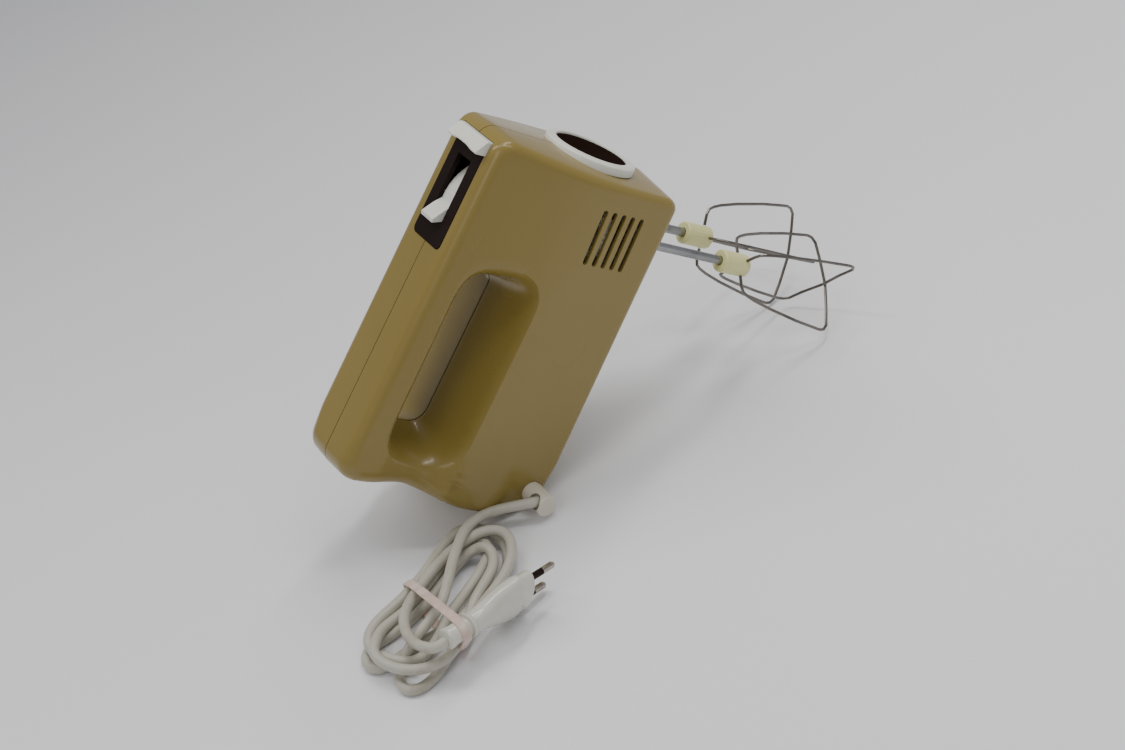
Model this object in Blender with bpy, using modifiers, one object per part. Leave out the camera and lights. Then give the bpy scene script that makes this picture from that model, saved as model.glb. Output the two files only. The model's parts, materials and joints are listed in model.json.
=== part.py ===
"""Hand mixer at rest on its heel and its beater tips, with its mains cord tied in a hank beside it.

Every size is in millimetres and becomes metres through MM. The mixer is modelled in its own frame, an
empty: x runs from the heel to the nose, z runs up along the beater axes with 0 at the bottom of the nose,
and y is sideways, with the cord outlet at -y. The empty is then tipped nose up until the heel and the
beaters touch the ground at z = 0. The cord, its hank and its plug lie on the ground in world axes.
"""
import math

import bmesh
import bpy
from mathutils import Matrix, Vector

MM = 0.001
GAP = 0.3                     # clearance between neighbouring pieces

# ---- driving dimensions of the body (mixer frame) ----
HEEL_CENTRE = (-140.0, 30.0)  # x, z of the round heel
HEEL_RADIUS = 28.0
NOSE_X = 37.0                 # front face at mid height
BODY_HALF_WIDTH = 41.0        # at the crease
BOTTOM_HALF_WIDTH = 39.5
TOP_HALF_WIDTH = 22.0
TOP_AT_ZERO = 118.9           # height of the handle top at x = 0
TOP_SLOPE = -0.058            # the handle top falls towards the nose
CREASE_AT_ZERO = 61.5
CREASE_SLOPE = -0.05
EDGE_RADIUS = 5.0
REAR_EDGE_RADIUS = 8.0
WALL = 2.2
CROWN_FRONT = 3.5             # bulge of the front face across its width
CROWN_REAR = 4.0
PARTING = 0.3                 # each half stops this far from the mid plane

# ---- beaters, gears and motor (mixer frame) ----
BEATER_Y = 19.0
BEATER_PHASE = {"right": 45.0, "left": 18.0}
CAGE_RADIUS = 30.5
CAGE_TIP_Z = -146.5
CAGE_CROSS_Z = -150.0
CAGE_CORNER = 5.0
WIRE_RADIUS = 0.9
HUB_TOP_Z = -63.3
HUB_BOTTOM_Z = -83.8
HUB_RADIUS = 6.6
BEATER_SHAFT_RADIUS = 2.6
WING_Z = -78.8                # height where the wires leave the hub
MOTOR_Z = 35.0
GEAR_RADIUS = 14.4
GEAR_TEETH = 26
WORM_RADIUS = 4.2

# ---- resting place ----
MIXER_X = 36.8
MIXER_Y = -3.5

# ---- cord, in world axes from the point under the mixer frame's origin ----
CORD_DIAMETER = 5.4
LEAD_ROUTE = [(-113.6, -50.6, 10.2), (-120.5, -48.6, 12.2), (-128.9, -44.2, 13.6), (-135.5, -41.3, 13.0),
              (-140.2, -41.0, 12.3)]
HANK_CENTRE = (-188.7, -80.1)
HANK_LENGTH = 124.0
HANK_WIDTH = 50.0
HANK_LOW = 1.8
HANK_HIGH = 18.0
HANK_EDGE = 5.0
HANK_ANGLE = math.radians(23.9)
PLUG_FACE = (-153.5, -111.0, 16.8)
PLUG_AXIS = (0.949, 0.248, -0.196)        # towards the pin tips
PLUG_ACROSS = (-0.278, 0.358, -0.891)     # from the upper pin to the lower one
PIN_SPACING = 18.6
PIN_LENGTH = 19.0
SLEEVE_LENGTH = 10.0
RELIEF_RADIUS = 6.2
BAND_X = -197.3
BAND_WIDTH = 7.5
BAND_THICKNESS = 1.0

COLOURS = {
    "beige": ((0.42, 0.34, 0.15), 0.30, 0.0),
    "dark": ((0.012, 0.008, 0.006), 0.35, 0.0),
    "white": ((0.72, 0.72, 0.68), 0.35, 0.0),
    "ivory": ((0.66, 0.64, 0.42), 0.45, 0.0),
    "steel": ((0.30, 0.30, 0.29), 0.28, 1.0),
    "plated": ((0.62, 0.58, 0.52), 0.2, 1.0),
    "iron": ((0.22, 0.22, 0.23), 0.5, 1.0),
    "copper": ((0.55, 0.24, 0.11), 0.35, 1.0),
    "carbon": ((0.03, 0.03, 0.03), 0.6, 0.0),
    "brass": ((0.6, 0.45, 0.18), 0.35, 1.0),
    "nylon": ((0.7, 0.69, 0.62), 0.5, 0.0),
    "cord": ((0.44, 0.42, 0.37), 0.45, 0.0),
    "band": ((0.62, 0.45, 0.40), 0.6, 0.0),
}


# ------------------------------------------------------------------ scene helpers

def clear_scene():
    for old in list(bpy.data.objects):
        bpy.data.objects.remove(old, do_unlink=True)


def make_collection(name):
    collection = bpy.data.collections.new(name)
    bpy.context.scene.collection.children.link(collection)
    return collection


def make_material(name):
    colour, roughness, metallic = COLOURS[name]
    material = bpy.data.materials.new(name)
    material.use_nodes = True
    shader = material.node_tree.nodes["Principled BSDF"]
    shader.inputs["Base Color"].default_value = (*colour, 1.0)
    shader.inputs["Roughness"].default_value = roughness
    shader.inputs["Metallic"].default_value = metallic
    return material


clear_scene()
PARTS = make_collection("hand_mixer")
CUTTERS = make_collection("cutters")
MATERIALS = {name: make_material(name) for name in COLOURS}


def metres(point):
    return Vector(point) * MM


def add_object(name, data, material=None, parent=None, at=(0, 0, 0), turn=(0, 0, 0)):
    """A new object in the parts collection, or in the cutters' when it has no material."""
    obj = bpy.data.objects.new(name, data)
    (PARTS if material else CUTTERS).objects.link(obj)
    obj.location = metres(at)
    obj.rotation_euler = turn
    obj.parent = parent
    if material:
        data.materials.append(MATERIALS[material])
    else:
        obj.hide_render = True
        obj.display_type = "WIRE"
    return obj


def mesh_from(name, build):
    """A mesh made by build(bm), which works in millimetres."""
    bm = bmesh.new()
    build(bm)
    bmesh.ops.scale(bm, vec=(MM, MM, MM), verts=bm.verts)
    bmesh.ops.recalc_face_normals(bm, faces=bm.faces)
    mesh = bpy.data.meshes.new(name)
    bm.to_mesh(mesh)
    bm.free()
    mesh.shade_smooth()
    mesh.set_sharp_from_angle(angle=math.radians(40))
    return mesh


def axis_turn(axis):
    """Euler angles that take +Z to the named axis."""
    return {"x": (0, math.pi / 2, 0), "y": (-math.pi / 2, 0, 0), "z": (0, 0, 0)}[axis]


def box(name, low, high, material=None, parent=None):
    size = [h - l for l, h in zip(low, high)]
    centre = [(h + l) / 2 for l, h in zip(low, high)]

    def build(bm):
        bmesh.ops.create_cube(bm, size=1.0, matrix=Matrix.Diagonal((*size, 1.0)))

    return add_object(name, mesh_from(name, build), material, parent, centre)


def cylinder(name, radius, length, at, axis="z", material=None, parent=None, sides=24, top_radius=None):
    """A cylinder or cone centred on a point."""

    def build(bm):
        bmesh.ops.create_cone(bm, cap_ends=True, segments=sides, radius1=radius,
                              radius2=radius if top_radius is None else top_radius, depth=length)

    return add_object(name, mesh_from(name, build), material, parent, at, axis_turn(axis))


def turned(name, profile, at, axis="z", material=None, parent=None, steps=24):
    """A turned solid. The profile is (radius, height) points; it is closed when it has a bore."""
    mesh = bpy.data.meshes.new(name)
    points = [metres((r, 0, h)) for r, h in profile]
    edges = [(i, i + 1) for i in range(len(points) - 1)]
    if profile[0][0] > 0:
        edges.append((len(points) - 1, 0))
    mesh.from_pydata(points, edges, [])
    obj = add_object(name, mesh, material, parent, at, axis_turn(axis))
    screw = obj.modifiers.new("turn", "SCREW")
    screw.axis = "Z"
    screw.steps = steps
    screw.render_steps = steps
    screw.use_merge_vertices = True
    screw.merge_threshold = 0.00001
    return obj


def ring_profile(inner, outer, low, high):
    return [(outer, high), (outer, low), (inner, low), (inner, high)]


def outline_prism(name, outline, thickness, material=None, parent=None, at=(0, 0, 0), turn=(0, 0, 0), hole=None):
    """A flat outline in its own XY plane, thickened both ways, with a hole where one is given."""
    curve = bpy.data.curves.new(name, "CURVE")
    curve.dimensions = "2D"
    curve.fill_mode = "BOTH"
    curve.extrude = thickness / 2 * MM
    for loop in [outline, hole] if hole else [outline]:
        spline = curve.splines.new("POLY")
        spline.points.add(len(loop) - 1)
        for point, (x, y) in zip(spline.points, loop):
            point.co = (x * MM, y * MM, 0, 1)
        spline.use_cyclic_u = True
    return solid_from_curve(name, curve, material, parent, at, turn)


def solid_from_curve(name, curve, material, parent, at=(0, 0, 0), turn=(0, 0, 0)):
    """The mesh of a curve, with its loose caps welded, as a new object."""
    guide = bpy.data.objects.new(name + "_curve", curve)
    CUTTERS.objects.link(guide)
    bpy.context.view_layer.update()
    graph = bpy.context.evaluated_depsgraph_get()
    mesh = bpy.data.meshes.new_from_object(guide.evaluated_get(graph))
    bpy.data.objects.remove(guide, do_unlink=True)
    bm = bmesh.new()
    bm.from_mesh(mesh)
    bmesh.ops.remove_doubles(bm, verts=bm.verts, dist=0.000005)
    bmesh.ops.recalc_face_normals(bm, faces=bm.faces)
    bm.to_mesh(mesh)
    bm.free()
    mesh.materials.clear()
    mesh.shade_smooth()
    mesh.set_sharp_from_angle(angle=math.radians(40))
    return add_object(name, mesh, material, parent, at, turn)


def wire(name, points, radius, material, parent=None, at=(0, 0, 0), turn=(0, 0, 0), sides=2, closed=False):
    """A round wire or tube along points; sides is the bevel resolution."""
    curve = bpy.data.curves.new(name, "CURVE")
    curve.dimensions = "3D"
    curve.bevel_depth = radius * MM
    curve.bevel_resolution = sides
    curve.use_fill_caps = True
    spline = curve.splines.new("POLY")
    spline.points.add(len(points) - 1)
    for place, point in zip(spline.points, points):
        place.co = (*metres(point), 1)
    spline.use_cyclic_u = closed
    return solid_from_curve(name, curve, material, parent, at, turn)


def boolean(obj, tool, operation):
    modifier = obj.modifiers.new(operation.lower(), "BOOLEAN")
    modifier.operation = operation
    modifier.object = tool
    modifier.solver = "EXACT"


def cut(obj, *tools):
    for tool in tools:
        boolean(obj, tool, "DIFFERENCE")


def join(obj, *tools):
    for tool in tools:
        boolean(obj, tool, "UNION")


def bevel(obj, width, segments=2, angle=40):
    modifier = obj.modifiers.new("round", "BEVEL")
    modifier.width = width * MM
    modifier.segments = segments
    modifier.use_clamp_overlap = False
    modifier.limit_method = "ANGLE"
    modifier.angle_limit = math.radians(angle)


# ------------------------------------------------------------------ outlines and curves

def corner_arc(before, corner, after, radius, steps):
    """Points on the arc that rounds one corner of a polygon."""
    a = (Vector(before) - Vector(corner)).normalized()
    b = (Vector(after) - Vector(corner)).normalized()
    half = math.acos(max(-1, min(1, a.dot(b)))) / 2
    centre = Vector(corner) + (a + b).normalized() * (radius / math.sin(half))
    start = Vector(corner) + a * (radius / math.tan(half)) - centre
    end = Vector(corner) + b * (radius / math.tan(half)) - centre
    sweep = start.angle_signed(end)
    first = math.atan2(start.y, start.x)
    return [centre + radius * Vector((math.cos(first - sweep * k / steps), math.sin(first - sweep * k / steps)))
            for k in range(steps + 1)]


def rounded_outline(corners, steps=6):
    """Points round a polygon whose corners are (x, y, radius)."""
    points = []
    for i, (x, y, radius) in enumerate(corners):
        before = corners[i - 1][:2]
        after = corners[(i + 1) % len(corners)][:2]
        points += corner_arc(before, (x, y), after, radius, steps)
    return points


def side_points(corners, side_of, counts):
    """Points round a rounded polygon, counts[k] of them along each of its four sides.

    side_of[k] is the corner where side k starts; a side runs from the middle of that corner's arc to the
    middle of the next one's, so two outlines with the same counts pair up point by point.
    """
    arc_steps = 16
    loop = rounded_outline(corners, arc_steps)
    per_corner = arc_steps + 1
    points = []
    for k, count in enumerate(counts):
        first = side_of[k] * per_corner + arc_steps // 2
        last = side_of[(k + 1) % 4] * per_corner + arc_steps // 2
        if last <= first:
            last += len(loop)
        run = [loop[i % len(loop)] for i in range(first, last + 1)]
        lengths = [0.0]
        for a, b in zip(run, run[1:]):
            lengths.append(lengths[-1] + (b - a).length)
        for i in range(count):
            points.append(point_along(run, lengths, lengths[-1] * i / count))
    return points


def point_along(run, lengths, distance):
    for a, b, start, end in zip(run, run[1:], lengths, lengths[1:]):
        if distance <= end:
            share = (distance - start) / (end - start) if end > start else 0
            return a.lerp(b, share)
    return run[-1]


def smooth_route(points, spacing):
    """Evenly spaced points on a smooth curve through the given ones (Catmull-Rom)."""
    places = [Vector(p) for p in points]
    padded = [2 * places[0] - places[1], *places, 2 * places[-1] - places[-2]]
    dense = []
    for a, b, c, d in zip(padded, padded[1:], padded[2:], padded[3:]):
        for k in range(20):
            t = k / 20
            dense.append(0.5 * (2 * b + (c - a) * t + (2 * a - 5 * b + 4 * c - d) * t * t
                                + (3 * b - a - 3 * c + d) * t ** 3))
    dense.append(places[-1])
    lengths = [0.0]
    for a, b in zip(dense, dense[1:]):
        lengths.append(lengths[-1] + (b - a).length)
    count = max(2, round(lengths[-1] / spacing))
    return [point_along(dense, lengths, lengths[-1] * k / count) for k in range(count + 1)]


def smoothstep(value, low, high):
    t = max(0.0, min(1.0, (value - low) / (high - low)))
    return t * t * (3 - 2 * t)


# ------------------------------------------------------------------ body surface

def top_z(x):
    return TOP_AT_ZERO + TOP_SLOPE * x


def crease_z(x):
    return CREASE_AT_ZERO + CREASE_SLOPE * x


def half_width(x, z):
    """Half width of the body's side: nearly upright below the crease, leaning in above it."""
    crease = crease_z(x)
    if z < crease:
        return BOTTOM_HALF_WIDTH + (BODY_HALF_WIDTH - BOTTOM_HALF_WIDTH) * z / crease
    return BODY_HALF_WIDTH - (BODY_HALF_WIDTH - TOP_HALF_WIDTH) * (z - crease) / (top_z(x) - crease)


def crowned(point):
    """Pulls the front and rear faces in towards the sides, so that both are slightly domed."""
    x, y, z = point
    share = (y / BODY_HALF_WIDTH) ** 2
    x -= CROWN_FRONT * share * smoothstep(x, 5, NOSE_X)
    x += CROWN_REAR * share * smoothstep(-x, 130, 165)
    return Vector((x, y, z))


BODY_OUTLINE = [
    (-170.5, 128.8, 11.0),     # rear of the handle
    (38.9, 116.6, 7.5),        # top of the nose
    (34.9, -1.0, 6.0),         # bottom of the nose
    (-133.0, 1.9, 20.0),       # start of the heel
    (-158.0, 6.0, 18.0),
    (-168.3, 22.0, 16.0),
    (-167.8, 58.0, 30.0),
    (-165.0, 88.0, 30.0),
]
BODY_SIDES = [0, 1, 2, 4]
SLOT_OUTLINE = [(-136.0, 104.0, 8.0), (-41.0, 100.0, 8.0), (-41.0, 69.5, 7.0), (-136.0, 74.5, 10.0)]
RIM_OUTLINE = [(-143.0, 114.5, 12.0), (-26.5, 108.0, 20.0), (-26.5, 61.5, 9.0), (-150.0, 69.0, 14.0)]
STATIONS = (15, 9, 15, 10)     # points along the top, front, bottom and rear


def housing_mesh(side):
    """One half of the body as an open skin: edge fillet, side face, and the flare into the finger slot."""
    outer = side_points(BODY_OUTLINE, BODY_SIDES, STATIONS)
    rim = side_points(RIM_OUTLINE, [0, 1, 2, 3], STATIONS)
    slot = side_points(SLOT_OUTLINE, [0, 1, 2, 3], STATIONS)
    columns = []
    for i, (edge, lip, hole) in enumerate(zip(outer, rim, slot)):
        tangent = (outer[(i + 1) % len(outer)] - outer[i - 1]).normalized()
        inward = Vector((tangent.y, -tangent.x))
        radius = EDGE_RADIUS + (REAR_EDGE_RADIUS - EDGE_RADIUS) * smoothstep(-edge.x, 140, 165)
        columns.append(housing_column(edge, inward, radius, lip, hole))
    rings = len(columns[0])
    bm = bmesh.new()
    grid = [[bm.verts.new(metres((p.x, p.y * side, p.z))) for p in column] for column in columns]
    for i, column in enumerate(grid):
        following = grid[(i + 1) % len(grid)]
        for j in range(rings - 1):
            corners = (column[j], column[j + 1], following[j + 1], following[j])
            bm.faces.new(corners[::-1] if side > 0 else corners)
    mesh = bpy.data.meshes.new("housing")
    bm.to_mesh(mesh)
    bm.free()
    mesh.shade_smooth()
    return mesh


def housing_column(edge, inward, radius, lip, hole):
    """Points from the outer parting line, over the side, to the parting line in the finger slot."""
    points = [Vector((edge.x, PARTING, edge.y))]
    for angle in (0, 30, 60, 90):
        turn = math.radians(angle)
        place = edge + inward * radius * (1 - math.cos(turn))
        points.append(Vector((place.x, half_width(place.x, place.y) - radius * (1 - math.sin(turn)), place.y)))
    start = edge + inward * radius
    for share in (0.34, 0.67, 1.0):
        place = start.lerp(lip, share)
        points.append(Vector((place.x, half_width(place.x, place.y), place.y)))
    lip_width = half_width(lip.x, lip.y)
    bend = lip.lerp(hole, 0.6)
    controls = (Vector((lip.x, lip_width, lip.y)), Vector((bend.x, lip_width * 0.93, bend.y)),
                Vector((hole.x, lip_width * 0.5, hole.y)), Vector((hole.x, PARTING, hole.y)))
    for t in (0.25, 0.5, 0.75, 1.0):
        points.append(bezier(controls, t))
    return [crowned(p) for p in points]


def bezier(controls, t):
    a, b, c, d = controls
    s = 1 - t
    return a * s ** 3 + b * 3 * s * s * t + c * 3 * s * t * t + d * t ** 3


# ------------------------------------------------------------------ resting pose

def resting_pose():
    """Pitch of the mixer, and the height of its frame, when heel and lower beater tip touch the ground."""
    tip_reach = (CAGE_RADIUS - CAGE_CORNER) * math.cos(math.radians(BEATER_PHASE["left"]))
    tip = Vector((-tip_reach, CAGE_TIP_Z + CAGE_CORNER))
    heel = Vector(HEEL_CENTRE)
    line = tip - heel
    lift = math.asin((HEEL_RADIUS - CAGE_CORNER - WIRE_RADIUS) / line.length)
    pitch = -(math.atan2(line.y, line.x) + lift)
    height = HEEL_RADIUS - (math.sin(pitch) * heel.x + math.cos(pitch) * heel.y)
    return pitch, height


PITCH, MIXER_HEIGHT = resting_pose()
MIXER = bpy.data.objects.new("mixer_frame", None)
PARTS.objects.link(MIXER)
MIXER.location = metres((MIXER_X, MIXER_Y, MIXER_HEIGHT))
MIXER.rotation_euler = (0, -PITCH, 0)
TO_WORLD = Matrix.Translation((MIXER_X, MIXER_Y, MIXER_HEIGHT)) @ Matrix.Rotation(-PITCH, 4, "Y")
CORD = bpy.data.objects.new("cord_frame", None)
PARTS.objects.link(CORD)
CORD.location = metres((MIXER_X, MIXER_Y, 0))


# ------------------------------------------------------------------ housing and its trim

PANEL_X = (-31.5, 24.6)
PANEL_HALF_WIDTH = 13.7
PANEL_THICKNESS = 3.0
PANEL_TILT = math.atan(-TOP_SLOPE)
LEVER_SLOT = (-19.0, 18.0)
LEVER_SLOT_HALF_WIDTH = 6.4
LEVER_PIVOT = (-8.0, 88.0)
LEVER_RADIUS = 29.0
EJECT_X = (25.2, 33.0)
EJECT_HALF_WIDTH = 15.0
RING_CENTRE_Z = 41.0
RING_RADIUS = 26.2
RING_BORE = 20.8
GLAND_CENTRE = (-150.0, 13.4)
GLAND_RADIUS = 6.3
VENT_HEIGHTS = [21.4 + 6.35 * k for k in range(5)]
VENT_X = (-13.0, 19.0)
VENT_WIDTH = 2.3
SCREW_PLACES = {"screw_nose_top": (22.5, 73.6), "screw_nose_bottom": (24.0, 9.5),
                "screw_heel": (-128.0, 12.0), "screw_handle": (-152.0, 108.0)}
BOSS_RADIUS = 3.8


def panel_outline(x_low, x_high, half, radius):
    return rounded_outline([(x_low, -half, radius), (x_low, half, radius), (x_high, half, 0.6),
                            (x_high, -half, 0.6)], steps=4)


def on_top(x):
    """A point in the middle of the handle top."""
    return (x, 0.0, top_z(x))


def vent_cutters(side, label):
    tools = []
    for k, z in enumerate(VENT_HEIGHTS):
        tools.append(box(f"vent_tool_{label}_{k}", (VENT_X[0], side * 30 - 15, z - VENT_WIDTH / 2),
                         (VENT_X[1], side * 30 + 15, z + VENT_WIDTH / 2), parent=MIXER))
    return tools


def front_tools():
    bore = cylinder("front_bore_tool", RING_BORE + GAP, 30, (NOSE_X, 0, RING_CENTRE_Z), "x", parent=MIXER)
    bushes = [cylinder(f"bush_bore_tool_{y:.0f}", 8.0 + GAP, 20, (0, y, 0), parent=MIXER)
              for y in (-BEATER_Y, BEATER_Y)]
    return [bore, *bushes]


def top_tools():
    panel = outline_prism("panel_tool", panel_outline(PANEL_X[0] - GAP, EJECT_X[0], PANEL_HALF_WIDTH + GAP, 3.3),
                          16, parent=MIXER, at=on_top(0), turn=(0, PANEL_TILT, 0))
    button = box("eject_tool", (EJECT_X[0] - GAP, -EJECT_HALF_WIDTH - GAP, 105),
                 (EJECT_X[1] + GAP, EJECT_HALF_WIDTH + GAP, 130), parent=MIXER)
    return [panel, button]


def housing_half(name, side, shared_tools):
    obj = add_object(name, housing_mesh(side), "beige", MIXER)
    shell = obj.modifiers.new("wall", "SOLIDIFY")
    shell.thickness = WALL * MM
    shell.offset = -1.0
    for screw, (x, z) in SCREW_PLACES.items():
        reach = half_width(x, z) - 1.0
        join(obj, cylinder(f"boss_{screw}_{name}", BOSS_RADIUS, reach - PARTING,
                           (x, side * (reach + PARTING) / 2, z), "y", parent=MIXER, sides=16))
    cut(obj, *shared_tools)
    return obj


def screw_bores(far, near):
    """Through holes with counterbores in the far half, and blind pilot holes in the near half."""
    for screw, (x, z) in SCREW_PLACES.items():
        outer = half_width(x, z)
        cut(far, cylinder(f"clear_{screw}", 1.5 + GAP, 120, (x, 60, z), "y", parent=MIXER, sides=16))
        cut(far, cylinder(f"sink_{screw}", 2.6, 20, (x, outer + 4, z), "y", parent=MIXER, sides=16))
        cut(near, cylinder(f"pilot_{screw}", 1.5 + GAP, 24, (x, 0, z), "y", parent=MIXER, sides=16))
        profile = [(0, 0), (2.3, 0), (2.3, -2.0), (1.5, -2.0), (1.5, -(outer - 6.3 + 10)), (0, -(outer - 6.3 + 10))]
        turned(screw, profile, (x, outer - 6.0 + 2.0 + GAP, z), "y", "steel", MIXER, steps=16)


def make_housing():
    shared = front_tools() + top_tools()
    near = housing_half("housing_right", -1, shared + vent_cutters(-1, "right"))
    far = housing_half("housing_left", 1, shared + vent_cutters(1, "left"))
    cut(near, cylinder("gland_tool", GLAND_RADIUS + GAP, 40, (GLAND_CENTRE[0], -45, GLAND_CENTRE[1]), "y",
                       parent=MIXER))
    screw_bores(far, near)


def make_switch_panel():
    panel = outline_prism("switch_panel", panel_outline(*PANEL_X, PANEL_HALF_WIDTH, 3.0), PANEL_THICKNESS,
                          "dark", MIXER, on_top(0), (0, PANEL_TILT, 0))
    panel.location.z -= (PANEL_THICKNESS / 2 - 0.3) * MM
    cut(panel, box("lever_slot_tool", (LEVER_SLOT[0], -LEVER_SLOT_HALF_WIDTH, 100),
                   (LEVER_SLOT[1], LEVER_SLOT_HALF_WIDTH, 140), parent=MIXER))


def make_speed_lever():
    """A thumb lever: a round sector in the slot with a tab that stands up at its rear end."""
    sector = [(LEVER_RADIUS * math.cos(a), LEVER_RADIUS * math.sin(a))
              for a in (math.radians(30 + 7.5 * k) for k in range(9))]
    tab = [(-3.5, 33.0), (-9.5, 38.2), (-11.4, 37.8), (-9.8, 32.0), (-9.5, 24.0), (-5.5, 4.0)]
    hub = [(5.0 * math.cos(a), 5.0 * math.sin(a)) for a in (math.radians(200 + 30 * k) for k in range(6))]
    lever = outline_prism("speed_lever", sector + tab + hub, 12.0, "white", MIXER,
                          (LEVER_PIVOT[0], 0, LEVER_PIVOT[1]), (math.pi / 2, 0, 0))
    cut(lever, cylinder("lever_bore_tool", 1.5 + GAP, 30, (LEVER_PIVOT[0], 0, LEVER_PIVOT[1]), "y",
                        parent=MIXER, sides=16))
    cylinder("lever_pin", 1.5, 2 * 21.0, (LEVER_PIVOT[0], 0, LEVER_PIVOT[1]), "y", "steel", MIXER, sides=16)


def make_switch_block():
    block = box("switch_block", (-34, -12, 76), (4, 12, 82.0), "carbon", MIXER)
    bevel(block, 0.8, 1)


EJECT_TRAVEL = 5.0


def make_ejector():
    """The button on the handle's nose, the yoke that it pushes and the spring that lifts both."""
    outline = [(EJECT_X[0], 112.0), (EJECT_X[1], 110.5), (EJECT_X[1], 121.5), (30.0, 124.0), (26.2, 125.0),
               (EJECT_X[0], 123.5)]
    button = outline_prism("eject_button", [(x - EJECT_X[0], z - 112.0) for x, z in outline],
                           2 * EJECT_HALF_WIDTH, "white", MIXER, (EJECT_X[0], 0, 112.0), (math.pi / 2, 0, 0))
    bevel(button, 0.7, 1)
    yoke = box("ejector_yoke", (27.0, -5, 68.0), (30.5, 5, 111.0 - 2.5), "nylon", MIXER)
    join(yoke, box("yoke_arm_tool", (-5, -5, 66), (30.5, 5, 69.2), parent=MIXER))
    join(yoke, box("yoke_bar_tool", (-5, -BEATER_Y - 4, 66), (5, BEATER_Y + 4, 69.0), parent=MIXER))
    turns, radius, low, high = 5, 3.2, 59.6, 65.0
    coil = [(14 + radius * math.cos(a), radius * math.sin(a), low + (high - low) * a / (2 * math.pi * turns))
            for a in (2 * math.pi * turns * k / (turns * 10) for k in range(turns * 10 + 1))]
    wire("eject_spring", coil, 0.35, "steel", MIXER, sides=1)


def make_front():
    turned("front_ring", [(RING_RADIUS, 0.4), (RING_RADIUS, -0.6), (RING_BORE, -0.6), (RING_BORE, 1.6),
                          (RING_BORE + 0.8, 2.1), (RING_RADIUS - 1.6, 1.9)],
           (NOSE_X + 0.9, 0, RING_CENTRE_Z), "x", "white", MIXER, steps=40)
    turned("front_cap", [(0, 0.2), (12.0, 0.5), (19.0, 1.3), (RING_BORE - GAP, 1.3), (RING_BORE - GAP, -4.0),
                         (18.0, -4.0), (17.0, -1.2), (0, -1.6)],
           (NOSE_X + 0.9, 0, RING_CENTRE_Z), "x", "dark", MIXER, steps=40)


# ------------------------------------------------------------------ motor and gears

STATOR_X = (-92.0, -66.0)
ARMATURE_RADIUS = 14.0
SHAFT_RADIUS = 3.0


def make_stator():
    stator = box("stator_core", (STATOR_X[0], -27, MOTOR_Z - 25), (STATOR_X[1], 27, MOTOR_Z + 25), "iron", MIXER)
    middle = sum(STATOR_X) / 2
    cut(stator, cylinder("stator_bore_tool", ARMATURE_RADIUS + 0.8, 60, (middle, 0, MOTOR_Z), "x", parent=MIXER,
                         sides=32))
    for label, side in (("upper", 1), ("lower", -1)):
        low, high = (17.0, 21.5) if side > 0 else (-21.5, -17.0)
        cut(stator, box(f"window_tool_{label}", (STATOR_X[0] - 5, -19, MOTOR_Z + low - 0.5),
                        (STATOR_X[1] + 5, 19, MOTOR_Z + high + 0.5), parent=MIXER))
        coil = box(f"field_coil_{label}", (STATOR_X[0] - 9, -18, MOTOR_Z + low),
                   (STATOR_X[1] + 9, 18, MOTOR_Z + high), "copper", MIXER)
        bevel(coil, 1.5, 2)


def worm_radius(angle, x):
    """A two-start worm thread between its ends, plain shaft elsewhere."""
    if abs(x) > 11:
        return SHAFT_RADIUS
    return 3.6 + (WORM_RADIUS - 3.6) * math.cos(2 * angle - 2 * math.pi * x / 4.0)


def worm_build(bm):
    """The shaft with its worm, as rings of points along x."""
    sides = 16
    stops = [-134.0, -11.5, *[-11 + k for k in range(23)], 11.5, 22.0]
    rings = []
    for x in stops:
        ring = []
        for k in range(sides):
            angle = 2 * math.pi * k / sides
            radius = worm_radius(angle, x)
            ring.append(bm.verts.new((x, radius * math.cos(angle), radius * math.sin(angle))))
        rings.append(ring)
    for ring, following in zip(rings, rings[1:]):
        for k in range(sides):
            bm.faces.new((ring[k], ring[(k + 1) % sides], following[(k + 1) % sides], following[k]))
    bm.faces.new(rings[0][::-1])
    bm.faces.new(rings[-1])


def slotted_outline(outer, inner, count, share=0.5):
    """An outline with count teeth between two radii."""
    points = []
    for k in range(count):
        for offset, radius in ((0.0, inner), (0.12, outer), (share, outer), (share + 0.12, inner)):
            angle = 2 * math.pi * (k + offset) / count
            points.append((radius * math.cos(angle), radius * math.sin(angle)))
    return points


def along_shaft(name, profile, x, material, steps=24):
    """A ring on the motor shaft; the profile's height runs along x."""
    return turned(name, profile, (x, 0, MOTOR_Z), "x", material, MIXER, steps)


def make_armature():
    add_object("worm_shaft", mesh_from("worm_shaft", worm_build), "steel", MIXER, (0, 0, MOTOR_Z))
    bore = SHAFT_RADIUS + GAP
    middle = sum(STATOR_X) / 2
    core = outline_prism("armature_core", slotted_outline(ARMATURE_RADIUS, 10.5, 11, 0.76), 26, "iron", MIXER,
                         (middle, 0, MOTOR_Z), (0, math.pi / 2, 0))
    cut(core, cylinder("core_bore_tool", bore, 60, (middle, 0, MOTOR_Z), "x", parent=MIXER, sides=16))
    winding = [(12.6, 2.0), (12.6, 6.0), (10.0, 8.0), (6.0, 8.0), (4.6, 6.0), (4.6, 0.3), (11.0, 0.3)]
    along_shaft("winding_front", winding[::-1], STATOR_X[1], "copper")
    along_shaft("winding_rear", [(r, -h) for r, h in winding], STATOR_X[0], "copper")
    along_shaft("commutator", ring_profile(bore, 9.0, -6, 6), STATOR_X[0] - 16, "copper")
    make_fan()


FAN_X = -42.0


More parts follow.
